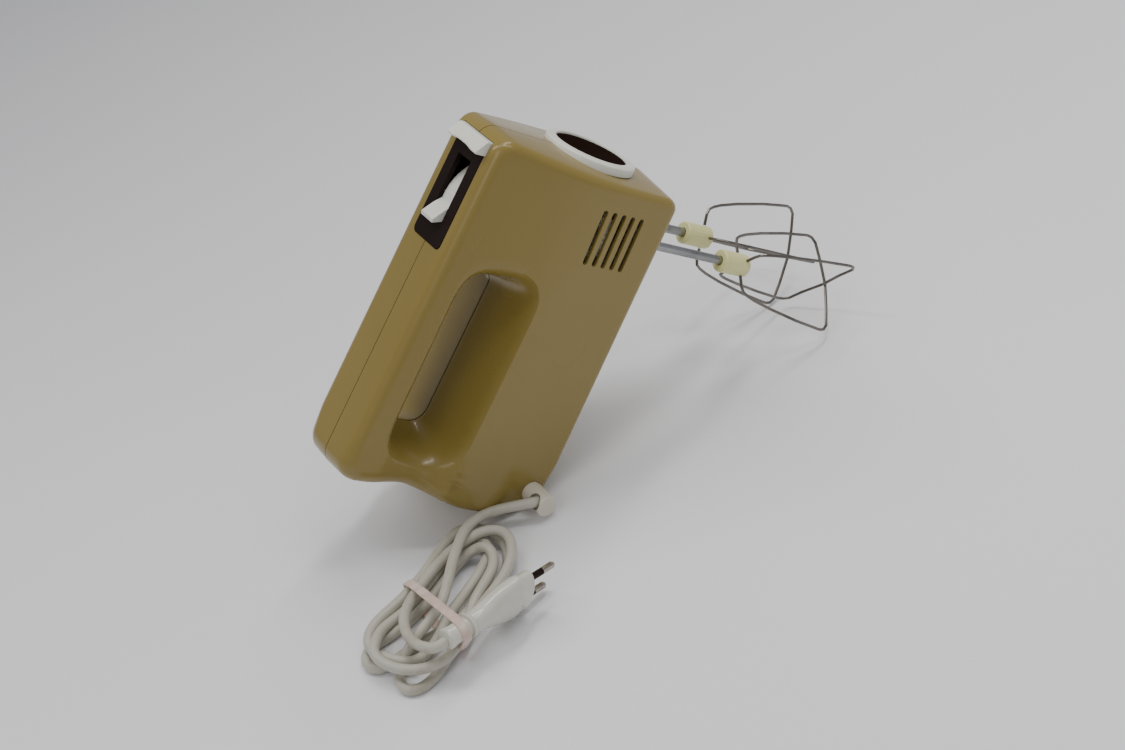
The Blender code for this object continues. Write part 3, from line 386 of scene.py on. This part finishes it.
def evenly(line, spacing):
    lengths = [0.0]
    for a, b in zip(line, line[1:]):
        lengths.append(lengths[-1] + (b - a).length)
    count = max(2, round(lengths[-1] / spacing))
    found, k = [], 0
    for i in range(count + 1):
        wanted = lengths[-1] * i / count
        while k < len(line) - 2 and lengths[k + 1] < wanted:
            k += 1
        span = lengths[k + 1] - lengths[k]
        found.append(line[k].lerp(line[k + 1], (wanted - lengths[k]) / span if span else 0))
    return found


def smoothstep(value, low, high):
    t = max(0.0, min(1.0, (value - low) / (high - low)))
    return t * t * (3 - 2 * t)


def tube(name, points, radius, material):
    """A round tube through points in metres, with its radius in millimetres."""
    curve = bpy.data.curves.new(name, "CURVE")
    curve.dimensions = "3D"
    curve.bevel_depth = radius * MM
    curve.bevel_resolution = 6
    curve.use_fill_caps = True
    curve.resolution_u = 1
    spline = curve.splines.new("POLY")
    spline.points.add(len(points) - 1)
    for place, point in zip(spline.points, points):
        place.co = (*point, 1)
    curve.materials.append(material)
    return add_object(name, curve)


# ------------------------------------------------------------------ cord

def hank_to_world(point):
    along, across, up = point
    a = Vector((-math.cos(HANK_ANGLE), -math.sin(HANK_ANGLE)))
    n = Vector((math.sin(HANK_ANGLE), -math.cos(HANK_ANGLE)))
    flat = Vector(HANK_PLACE) + along * a + across * n
    return Vector((flat.x, flat.y, up))


def settle(line, diameter, spacing, rounds=90):
    """Pushes strands that lie in each other apart, keeps them on the floor and keeps the line smooth."""
    points = np.array([tuple(p) for p in line])
    count = len(points)
    apart = int(2.2 * diameter / spacing)
    index = np.arange(count)
    far_enough = np.abs(index[:, None] - index[None, :]) > apart
    held = np.ones((count, 1))
    held[:HELD_POINTS] = 0.0
    held[-HELD_POINTS:] = 0.0
    for _ in range(rounds):
        offset = points[:, None, :] - points[None, :, :]
        distance = np.linalg.norm(offset, axis=2) + 1e-9
        overlap = np.where(far_enough & (distance < diameter), diameter - distance, 0.0)
        push = (offset / distance[..., None] * overlap[..., None]).sum(axis=1) * 0.3
        points += push * held
        smooth = points.copy()
        smooth[1:-1] = 0.25 * points[:-2] + 0.5 * points[1:-1] + 0.25 * points[2:]
        points += (smooth - points) * 0.35 * held
        points[:, 2] = np.maximum(points[:, 2], diameter / 2 + 0.05)
    return [Vector(p) for p in points]


def make_cord():
    low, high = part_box("cord_gland")
    inside = Vector(((low[0] + high[0]) / 2, low[1] + GLAND_HOLE_BACK * MM, (low[2] + high[2]) / 2)) / MM
    outside = inside + 7.5 * Vector(GLAND_HOLE_WAY).normalized()
    line = smooth_route([inside, outside] + [hank_to_world(p) for p in CORD_ROUTE], CORD_SPACING)
    line = evenly(settle(line, CORD_DIAMETER, CORD_SPACING), CORD_SPACING)
    pieces = [make_gland(), make_plug(), make_band(line)]
    pieces += [bpy.data.objects[name] for name in PIN_NODES]
    cord = tube("cord", [p * MM for p in line], CORD_DIAMETER / 2, CORD_SKIN)
    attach(cord, "body")
    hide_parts("cord_lead", "cord_hank")


# ------------------------------------------------------------------ body surface

def corner_arc(before, corner, after, radius, steps):
    a = (Vector(before) - Vector(corner)).normalized()
    b = (Vector(after) - Vector(corner)).normalized()
    half = math.acos(max(-1, min(1, a.dot(b)))) / 2
    centre = Vector(corner) + (a + b).normalized() * (radius / math.sin(half))
    start = Vector(corner) + a * (radius / math.tan(half)) - centre
    end = Vector(corner) + b * (radius / math.tan(half)) - centre
    sweep = start.angle_signed(end)
    first = math.atan2(start.y, start.x)
    angles = [first - sweep * k / steps for k in range(steps + 1)]
    return [centre + radius * Vector((math.cos(angle), math.sin(angle))) for angle in angles]


def rounded_outline(corners, steps):
    """A polygon of (x, y, corner radius), with each corner as an arc of so many steps."""
    points = []
    for i, (x, y, radius) in enumerate(corners):
        before = corners[i - 1][:2]
        after = corners[(i + 1) % len(corners)][:2]
        points += corner_arc(before, (x, y), after, radius, steps)
    return points


def side_points(corners, side_of, counts):
    """Points round a rounded polygon, counts[k] of them along each of its four sides."""
    steps = 32
    loop = rounded_outline(corners, steps)
    per_corner = steps + 1
    points = []
    for k, count in enumerate(counts):
        first = side_of[k] * per_corner + steps // 2
        last = side_of[(k + 1) % 4] * per_corner + steps // 2
        if last <= first:
            last += len(loop)
        run = [loop[i % len(loop)] for i in range(first, last + 1)]
        points += evenly(run, sum((b - a).length for a, b in zip(run, run[1:])) / count)[:-1]
    return points


def smooth_loop(values, rounds):
    count = len(values)
    for _ in range(rounds):
        values = [(values[i - 1] + 2 * values[i] + values[(i + 1) % count]) / 4 for i in range(count)]
    return values


def top_z(x):
    return TOP_AT_ZERO + TOP_SLOPE * x


def half_width(x, z):
    """Half width of the side: nearly upright below the crease, leaning in above it, with a soft crease."""
    crease = CREASE_AT_ZERO + CREASE_SLOPE * x
    lower = BOTTOM_HALF_WIDTH + (BODY_HALF_WIDTH - BOTTOM_HALF_WIDTH) * z / crease
    lean = (BODY_HALF_WIDTH - TOP_HALF_WIDTH) / (top_z(x) - crease)
    upper = BODY_HALF_WIDTH - lean * (z - crease)
    soft = 1.0 + 3.0 * smoothstep(x, -40, 20)
    blend = soft * math.log(math.exp(-lower / soft) + math.exp(-upper / soft))
    return -blend - valley(x, z)


def valley(x, z):
    """The dish behind the finger slot runs out through the heel between the crease and the handle."""
    share = (z - CREASE_AT_ZERO - CREASE_SLOPE * x) / 40.0
    if not 0.0 < share < 1.0:
        return 0.0
    return VALLEY_DEPTH * smoothstep(-x, 116, 150) * math.sin(math.pi * share ** 0.75) ** 1.3


def crowned(point):
    x, y, z = point
    share = (y / BODY_HALF_WIDTH) ** 2
    x -= 3.5 * share * smoothstep(x, 5, NOSE_X)
    x += 4.0 * share * smoothstep(-x, 130, 165) * smoothstep(z, 45, 85)
    return Vector((x, y, z))


BODY_OUTLINE = [(-170.5, 128.8, 11.0), (38.9, 116.6, 10.0), (34.9, -1.0, 6.0), (-133.0, 1.9, 20.0),
                (-158.0, 6.0, 18.0), (-168.3, 22.0, 16.0), (-167.8, 58.0, 30.0), (-165.0, 88.0, 30.0)]
SLOT_OUTLINE = [(-136.0, 104.0, 8.0), (-41.0, 100.0, 8.0), (-41.0, 69.5, 7.0), (-136.0, 74.5, 10.0)]
RIM_OUTLINE = [(-151.0, 114.0, 18.0), (-26.5, 108.0, 20.0), (-26.5, 63.0, 16.0), (-153.0, 69.0, 22.0)]
STATIONS = (70, 44, 70, 56)


def bezier(controls, t):
    a, b, c, d = controls
    s = 1 - t
    return a * s ** 3 + b * 3 * s * s * t + c * 3 * s * t * t + d * t ** 3


def housing_columns():
    outer = side_points(BODY_OUTLINE, [0, 1, 2, 4], STATIONS)
    rim = smooth_loop(side_points(RIM_OUTLINE, [0, 1, 2, 3], STATIONS), 20)
    slot = side_points(SLOT_OUTLINE, [0, 1, 2, 3], STATIONS)
    count = len(outer)
    inward = []
    for i in range(count):
        tangent = (outer[(i + 1) % count] - outer[i - 1]).normalized()
        inward.append(Vector((tangent.y, -tangent.x)))
    inward = [v.normalized() for v in smooth_loop(inward, 6)]
    return [housing_column(*group) for group in zip(outer, inward, rim, slot)]


def housing_column(edge, inward, lip, hole):
    """Points from the outer parting line, over the side, to the parting line in the finger slot."""
    radius = 5.0 + 4.0 * smoothstep(-edge.x, 140, 165) * smoothstep(edge.y, 60, 90)
    points = [Vector((edge.x, PARTING, edge.y)), Vector((edge.x, PARTING + 0.35, edge.y))]
    for k in range(9):
        turn = math.radians(90 * k / 8)
        place = edge + inward * radius * (1 - math.cos(turn))
        side = half_width(place.x, place.y) - radius * (1 - math.sin(turn))
        points.append(Vector((place.x, side, place.y)))
    start = edge + inward * radius
    for k in range(1, 13):
        place = start.lerp(lip, k / 12)
        points.append(Vector((place.x, half_width(place.x, place.y), place.y)))
    width = half_width(lip.x, lip.y)
    bend = lip.lerp(hole, 0.55)
    low = max(1 - smoothstep(lip.y, 66, 104), 0.8 * smoothstep(-lip.x, 134, 149))
    drop = hole.lerp(lip, 0.3 * low)
    wall = min(width, half_width(bend.x, bend.y)) * (0.97 - 0.2 * low)
    controls = (points[-1],
                Vector((bend.x, wall, bend.y)),
                Vector((drop.x, width * (0.5 - 0.18 * low), drop.y)),
                Vector((hole.x, SLOT_PARTING + 0.3, hole.y)))
    points += [bezier(controls, k / 18) for k in range(1, 19)]
    points.append(Vector((hole.x, SLOT_PARTING, hole.y)))
    return [crowned(p) for p in points]


def housing_skin(name, side, columns):
    bm = bmesh.new()
    grid = [[bm.verts.new((p.x, p.y * side, p.z)) for p in column] for column in columns]
    for i, column in enumerate(grid):
        following = grid[(i + 1) % len(grid)]
        for j in range(len(column) - 1):
            corners = (column[j], column[j + 1], following[j + 1], following[j])
            bm.faces.new(corners[::-1] if side > 0 else corners)
    mesh = bpy.data.meshes.new(name)
    bm.transform(TO_WORLD)
    bm.to_mesh(mesh)
    bm.free()
    mesh.shade_smooth()
    return add_object(name, mesh)


# ------------------------------------------------------------------ body cut-outs

def prism(name, outline, low, high, axis):
    """A closed tool from an outline in the mixer's frame.

    Axis 'y' takes (x, z) points, 'x' takes (y, z) and 'z' takes (x, y).
    """
    def place(point, depth):
        u, v = point
        return {"y": (u, depth, v), "x": (depth, u, v), "z": (u, v, depth)}[axis]

    bm = bmesh.new()
    rings = [[bm.verts.new(place(p, depth)) for p in outline] for depth in (low, high)]
    bridge(bm, *rings)
    bm.faces.new(rings[0])
    bm.faces.new(rings[1])
    return mesh_object(name, in_mixer(bm))


def circle(centre, radius, steps=64):
    turns = [2 * math.pi * k / steps for k in range(steps)]
    return [(centre[0] + radius * math.cos(turn), centre[1] + radius * math.sin(turn)) for turn in turns]


def slot_outline(x_low, x_high, z, width, steps=8):
    radius = width / 2
    points = []
    for end, start in ((x_high, -math.pi / 2), (x_low, math.pi / 2)):
        middle = end - radius if end == x_high else end + radius
        for k in range(steps + 1):
            turn = start + math.pi * k / steps
            points.append((middle + radius * math.cos(turn), z + radius * math.sin(turn)))
    return points


VENTS = [(-13.0, 19.0, 21.4 + 6.35 * k, 3.1) for k in range(5)]
PANEL_X = (-31.5, 24.6)
PANEL_HALF_WIDTH = 13.7
EJECT_X = (25.2, 33.0)
EJECT_HALF_WIDTH = 15.0
RING_CENTRE_Z, RING_BORE = 41.0, 20.8
GLAND = (-150.0, 13.4)
GLAND_RADIUS = 6.3
BUSH_BORE = 8.3
GAP = 0.3
# from where to where each cutting tool reaches, along its own axis
PANEL_CUT = (112.0, 132.0)
EJECT_CUT = (105.0, 131.0)
FRONT_CUT = (22.0, 52.0)
BUSH_CUT = (-10.0, 10.0)
VENT_CUT = (15.0, 45.0)
GLAND_CUT = (-60.0, -25.0)


def shared_tools():
    """Tools that cut both halves: panel, eject bar, front ring and the two bushes."""
    low, high, side = PANEL_X[0] - GAP, EJECT_X[0], PANEL_HALF_WIDTH + GAP
    panel = rounded_outline([(low, -side, 3.3), (low, side, 3.3), (high, side, 0.3), (high, -side, 0.3)], 8)
    low, high, side = EJECT_X[0] - GAP, EJECT_X[1] + GAP, EJECT_HALF_WIDTH + GAP
    eject = [(low, -side), (high, -side), (high, side), (low, side)]
    tools = [prism("tool_panel", panel, *PANEL_CUT, "z"),
             prism("tool_eject", eject, *EJECT_CUT, "z"),
             prism("tool_front", circle((0, RING_CENTRE_Z), RING_BORE + GAP), *FRONT_CUT, "x")]
    for k, y in enumerate((-BEATER_Y, BEATER_Y)):
        tools.append(prism(f"tool_bush_{k}", circle((0, y), BUSH_BORE, 40), *BUSH_CUT, "z"))
    return tools


def own_tools(name, side):
    """Tools that cut one half: its vents, and the gland's hole on the right."""
    tools = [prism(f"tool_vent_{name}_{k}", slot_outline(*vent), side * VENT_CUT[0], side * VENT_CUT[1], "y")
             for k, vent in enumerate(VENTS)]
    if side < 0:
        tools.append(prism("tool_gland", circle(GLAND, GLAND_RADIUS + 0.35, 40), *GLAND_CUT, "y"))
    return tools


def make_housings():
    columns = housing_columns()
    tools = shared_tools()
    for name, side in (("housing_right", -1), ("housing_left", 1)):
        body = housing_skin("fine_" + name, side, columns)
        shell = body.modifiers.new("wall", "SOLIDIFY")
        shell.thickness = WALL * MM
        shell.offset = -1.0
        own = own_tools(name, side)
        for tool in tools + own:
            cut(body, tool)
        apply_modifiers(body)
        remove(*own)
        body.data.set_sharp_from_angle(angle=math.radians(40))
        dress(body, BEIGE)
        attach(body, "body")
        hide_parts(name)
    remove(*tools)


# ------------------------------------------------------------------ small pieces

def lathe(name, profile, centre, steps=96):
    """A solid turned about x in the mixer's frame, from an open or closed profile of (radius, x)."""
    bm = bmesh.new()
    rings = []
    for radius, x in profile:
        if radius == 0:
            rings.append([bm.verts.new((centre[0] + x, centre[1], centre[2]))] * steps)
            continue
        around = circle(centre[1:], radius, steps)
        rings.append([bm.verts.new((centre[0] + x, y, z)) for y, z in around])
    for ring, following in zip(rings, rings[1:]):
        bridge(bm, ring, following)
    return mesh_object(name, in_mixer(bm), 50)


# (radius, distance along the nose) round each turned piece's section
RING_PROFILE = [(26.2, -3.2), (26.2, 0.7), (26.0, 1.1), (25.5, 1.4), (21.8, 2.1), (21.3, 2.1),
                (21.0, 1.8), (20.8, 1.2), (20.8, -3.2), (26.2, -3.2)]
CAP_PROFILE = [(0, -1.3), (6, -1.15), (12, -0.7), (16, -0.1), (19, 0.7), (20.1, 1.0),
               (20.6, 0.8), (20.7, 0.2), (20.7, -4.0), (0, -4.0)]


def make_front():
    centre = (NOSE_X + 0.9, 0, RING_CENTRE_Z)
    ring = lathe("fine_front_ring", RING_PROFILE, centre)
    dress(ring, WHITE)
    cap = lathe("fine_front_cap", CAP_PROFILE, centre)
    dress(cap, CAP)
    for piece, node, slot in ((ring, "front_ring", "white_plastic"), (cap, "front_cap", "dark_plastic")):
        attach(piece, "body")
        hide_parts(node)


def make_eject_bar():
    """A thin bar across the handle's front end, upright behind and sloping down to the nose."""
    bm = bmesh.new()
    rings = []
    count = 30
    for k in range(count + 1):
        y = -EJECT_HALF_WIDTH + 2 * EJECT_HALF_WIDTH * k / count
        rear = EJECT_X[0] - 0.3 + 0.9 * (1 - smoothstep(abs(y), 3, 11))
        section = [(rear, 112.5), (rear, 123.6), (rear + 0.4, 124.2), (rear + 1.0, 124.3), (31.9, 119.9),
                   (32.8, 118.8), (32.8, 112.5)]
        rings.append([bm.verts.new((x, y, z)) for x, z in section])
    for ring, following in zip(rings, rings[1:]):
        bridge(bm, ring, following)
    bm.faces.new(rings[0])
    bm.faces.new(rings[-1])
    bar = mesh_object("fine_eject_button", in_mixer(bm), 30)
    bevel(bar, 0.45, 3, 40)
    apply_modifiers(bar)
    dress(bar, WHITE)
    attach(bar, "ejector")
    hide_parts("eject_button")


def rounded_copy(name, body, width, material):
    """A piece's CAD solid with its edges rounded."""
    node = bpy.data.objects[name]
    mesh = node.data.copy()
    mesh.transform(node.matrix_world)
    piece = add_object("fine_" + name, mesh)
    bevel(piece, width, 3, 25)
    apply_modifiers(piece)
    piece.data.shade_smooth()
    piece.data.set_sharp_from_angle(angle=math.radians(30))
    dress(piece, material)
    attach(piece, body)
    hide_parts(name)


# ------------------------------------------------------------------ gland, plug and band

def rod(name, start, way, radius, length, steps=64):
    """A closed cylinder in world millimetres."""
    bm = bmesh.new()
    bmesh.ops.create_cone(bm, cap_ends=True, segments=steps, radius1=radius * MM, radius2=radius * MM,
                          depth=length * MM)
    turn = Vector(way).to_track_quat("Z", "Y").to_matrix().to_4x4()
    middle = Vector(start) + Vector(way).normalized() * length / 2
    bm.transform(Matrix.Translation(middle * MM) @ turn)
    return mesh_object(name, bm, 40)


def make_gland():
    """The cord outlet: a thimble with a wide hole in its wall near the closed end."""
    low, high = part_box("cord_gland")
    x, z = (low[0] + high[0]) / 2 / MM, (low[2] + high[2]) / 2 / MM
    tip, root = low[1] / MM, high[1] / MM
    gland = rod("fine_cord_gland", (x, tip, z), (0, 1, 0), GLAND_RADIUS, root - tip)
    bevel(gland, 1.0, 4, 40)
    tools = [rod("tool_gland_hole", (x, tip + GLAND_HOLE_BACK, z), GLAND_HOLE_WAY, GLAND_BORE_RADIUS, 12),
             rod("tool_gland_bore", (x, tip + 2.0, z), (0, 1, 0), GLAND_BORE_RADIUS, root - tip - 4)]
    for tool in tools[::-1]:
        cut(gland, tool)
    bevel(gland, 0.35, 2, 40)
    apply_modifiers(gland)
    gland.data.set_sharp_from_angle(angle=math.radians(40))
    remove(*tools)
    dress(gland, GLAND_SKIN)
    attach(gland, "body")
    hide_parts("cord_gland")
    return gland


# half sizes of the plug across both ways, and how square the section is, by distance behind the face
PLUG_SECTIONS = [
    (0.0, 14.6, 5.0, 0.9), (0.0, 16.4, 6.2, 0.9), (0.5, 17.0, 6.8, 0.9), (7.6, 17.3, 7.0, 0.9),
    (8.2, 17.9, 7.4, 0.8), (9.0, 18.3, 7.6, 0.75), (11.0, 18.3, 7.7, 0.7), (15.0, 17.3, 7.6, 0.6),
    (19.0, 15.4, 7.4, 0.5), (23.0, 12.9, 7.1, 0.35), (27.0, 10.3, 6.8, 0.2), (31.0, 8.2, 6.4, 0.1),
    (35.0, 6.9, 6.2, 0.0), (39.4, 6.3, 6.1, 0.0), (40.2, 6.9, 6.9, 0.0), (40.8, 7.2, 7.2, 0.0),
    (42.0, 7.2, 7.2, 0.0), (42.4, 6.6, 6.6, 0.0), (42.6, 5.6, 5.6, 0.0), (54.0, 5.4, 5.4, 0.0),
    (54.2, 5.9, 5.9, 0.0), (56.2, 5.9, 5.9, 0.0), (57.0, 5.2, 5.2, 0.0), (57.0, 2.0, 2.0, 0.0),
]


def plug_section(half_across, half_thick, squareness, sides=96):
    """A closed section between an ellipse (0) and a flat hexagon with soft corners (1)."""
    points = []
    for k in range(sides):
        angle = 2 * math.pi * (k + 0.5) / sides
        c, s = math.cos(angle), math.sin(angle)
        hexagon = (abs(s) ** 9 + abs(c) ** 9 + (abs(c) * 0.77 + abs(s) * 0.62) ** 9) ** (-1 / 9)
        reach = min((1 - squareness) + squareness * hexagon, 1.3)
        points.append((half_across * c * reach, half_thick * s * reach))
    return points


def make_plug():
    bm = bmesh.new()
    rings = [[bm.verts.new((x * MM, y * MM, -back * MM)) for x, y in plug_section(*rest)]
             for back, *rest in PLUG_SECTIONS]
    for ring, following in zip(rings, rings[1:]):
        bridge(bm, ring, following)
    bm.faces.new(rings[0])
    bm.faces.new(rings[-1])
    z_axis = Vector(PLUG_AXIS).normalized()
    y_axis = z_axis.cross(Vector(PLUG_ACROSS)).normalized()
    turn = Matrix((y_axis.cross(z_axis), y_axis, z_axis)).transposed().to_4x4()
    bm.transform(Matrix.Translation(Vector(PLUG_FACE) * MM) @ turn)
    plug = mesh_object("fine_plug_body", bm, 40)
    dress(plug, PLUG_SKIN)
    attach(plug, "body")
    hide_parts("plug_body")
    return plug


def hull(points):
    """The convex hull of flat points, anticlockwise."""
    ordered = sorted(set(points))
    lines = []
    for run in (ordered, ordered[::-1]):
        line = []
        for p in run:
            while len(line) > 1 and ((line[-1][0] - line[-2][0]) * (p[1] - line[-2][1])
                                     - (line[-1][1] - line[-2][1]) * (p[0] - line[-2][0])) <= 0:
                line.pop()
            line.append(p)
        lines += line[:-1]
    return lines


def make_band(cord_line):
    """The rubber band, drawn tight round the strands and the plug's neck where it crosses them."""
    radius = CORD_DIAMETER / 2 + BAND_HALF_THICKNESS + BAND_CLEARANCE
    circles = [((a.y + b.y) / 2, (a.z + b.z) / 2, radius) for a, b in zip(cord_line, cord_line[1:])
               if (a.x - BAND_PLACE) * (b.x - BAND_PLACE) <= 0]
    back = (PLUG_FACE[0] - BAND_PLACE) / Vector(PLUG_AXIS).normalized().x
    neck = Vector(PLUG_FACE) - back * Vector(PLUG_AXIS).normalized()
    circles.append((neck.y, neck.z, PLUG_NECK_RADIUS + BAND_HALF_THICKNESS + BAND_CLEARANCE))
    turns = [math.pi * k / 24 for k in range(48)]
    around = [(y + r * math.cos(turn), max(z + r * math.sin(turn), BAND_HALF_THICKNESS))
              for y, z, r in circles for turn in turns]
    loop = [Vector(p) for p in hull(around)]
    loop = evenly(loop + [loop[0]], 1.0)[:-1]
    bm = bmesh.new()
    rings = []
    for k, place in enumerate(loop):
        along = (loop[(k + 1) % len(loop)] - loop[k - 1]).normalized()
        outward = Vector((along.y, -along.x))
        ring = []
        for i in range(16):
            turn = 2 * math.pi * i / 16
            c, s = math.cos(turn), math.sin(turn)
            out = BAND_HALF_THICKNESS * math.copysign(abs(s) ** 0.6, s)
            side = BAND_HALF_WIDTH * math.copysign(abs(c) ** 0.6, c)
            ring.append(bm.verts.new(((BAND_PLACE + side) * MM, (place.x + outward.x * out) * MM,
                                      (place.y + outward.y * out) * MM)))
        rings.append(ring)
    for ring, following in zip(rings, rings[1:] + rings[:1]):
        bridge(bm, ring, following)
    band = mesh_object("fine_rubber_band", bm, 60)
    dress(band, BAND_SKIN)
    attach(band, "body")
    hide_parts("rubber_band")
    return band


# ------------------------------------------------------------------ stage, light and camera

def make_camera():
    data = bpy.data.cameras.new("camera")
    data.lens = LENS
    data.sensor_width = 36.0
    data.clip_end = 20.0
    camera = add_object("camera", data)
    camera.rotation_mode = "QUATERNION"
    camera.rotation_quaternion = Matrix((CAMERA_RIGHT, CAMERA_UP, CAMERA_BACK)).transposed().to_quaternion()
    camera.location = Vector(CAMERA_PLACE) * MM
    bpy.context.scene.camera = camera


def make_stage():
    bm = bmesh.new()
    bmesh.ops.create_grid(bm, x_segments=1, y_segments=1, size=6.0)
    floor = mesh_object("floor", bm)
    nodes = Nodes("floor")
    parts = nodes.tree.nodes.new("ShaderNodeSeparateXYZ")
    nodes.link(nodes.place, parts.inputs["Vector"])
    # painted shade: the floor's colour darkens from the front towards the back, standing in for light
    # falling off away from the lamps; the clouds are the floor's own uneven tone
    back = nodes.between(parts.outputs["Y"], -0.2, 1.2, 0.0, 1.0)
    clouds = nodes.between(nodes.noise(1.5, 3.0), 0.35, 0.65, 0.0, 1.0)
    front = nodes.mix(clouds, (0.88, 0.88, 0.905), (0.91, 0.91, 0.93))
    nodes.link(nodes.mix(back, front, (0.33, 0.33, 0.34)), nodes.shader.inputs["Base Color"])
    nodes.shader.inputs["Roughness"].default_value = 0.55
    dress(floor, nodes.material)


def area_light(name, at, target, size, power, colour):
    data = bpy.data.lights.new(name, "AREA")
    data.shape = "RECTANGLE"
    data.size, data.size_y = size
    data.energy = power
    data.color = colour
    light = add_object(name, data)
    light.location = at
    light.rotation_euler = (Vector(target) - Vector(at)).to_track_quat("-Z", "Y").to_euler()


def make_light():
    area_light("ceiling_right", (0.9, 0.5, 1.9), (0, 0, 0.05), (0.25, 1.6), 15, (1.0, 0.98, 0.95))
    area_light("ceiling_left", (-0.6, 0.7, 1.9), (0, 0, 0.05), (0.25, 1.6), 11.5, (1.0, 0.99, 0.97))
    area_light("ceiling_near", (0.5, -0.45, 1.9), (0, 0, 0.05), (0.2, 1.2), 7, (1.0, 0.99, 0.97))
    area_light("left_fill", (-1.5, -0.9, 1.7), (0, 0, 0.05), (0.9, 1.2), 6, (1.0, 0.98, 0.95))
    world = bpy.data.worlds.new("world")
    bpy.context.scene.world = world
    world.use_nodes = True
    background = world.node_tree.nodes["Background"]
    background.inputs["Color"].default_value = (0.93, 0.95, 1.0, 1)
    background.inputs["Strength"].default_value = 0.41


make_camera()
make_cord()
make_stage()
make_light()
dress_cad_nodes()
make_housings()
make_front()
make_eject_bar()
rounded_copy("speed_lever", "lever", 0.9, WHITE)
rounded_copy("switch_panel", "body", 0.25, DARK)
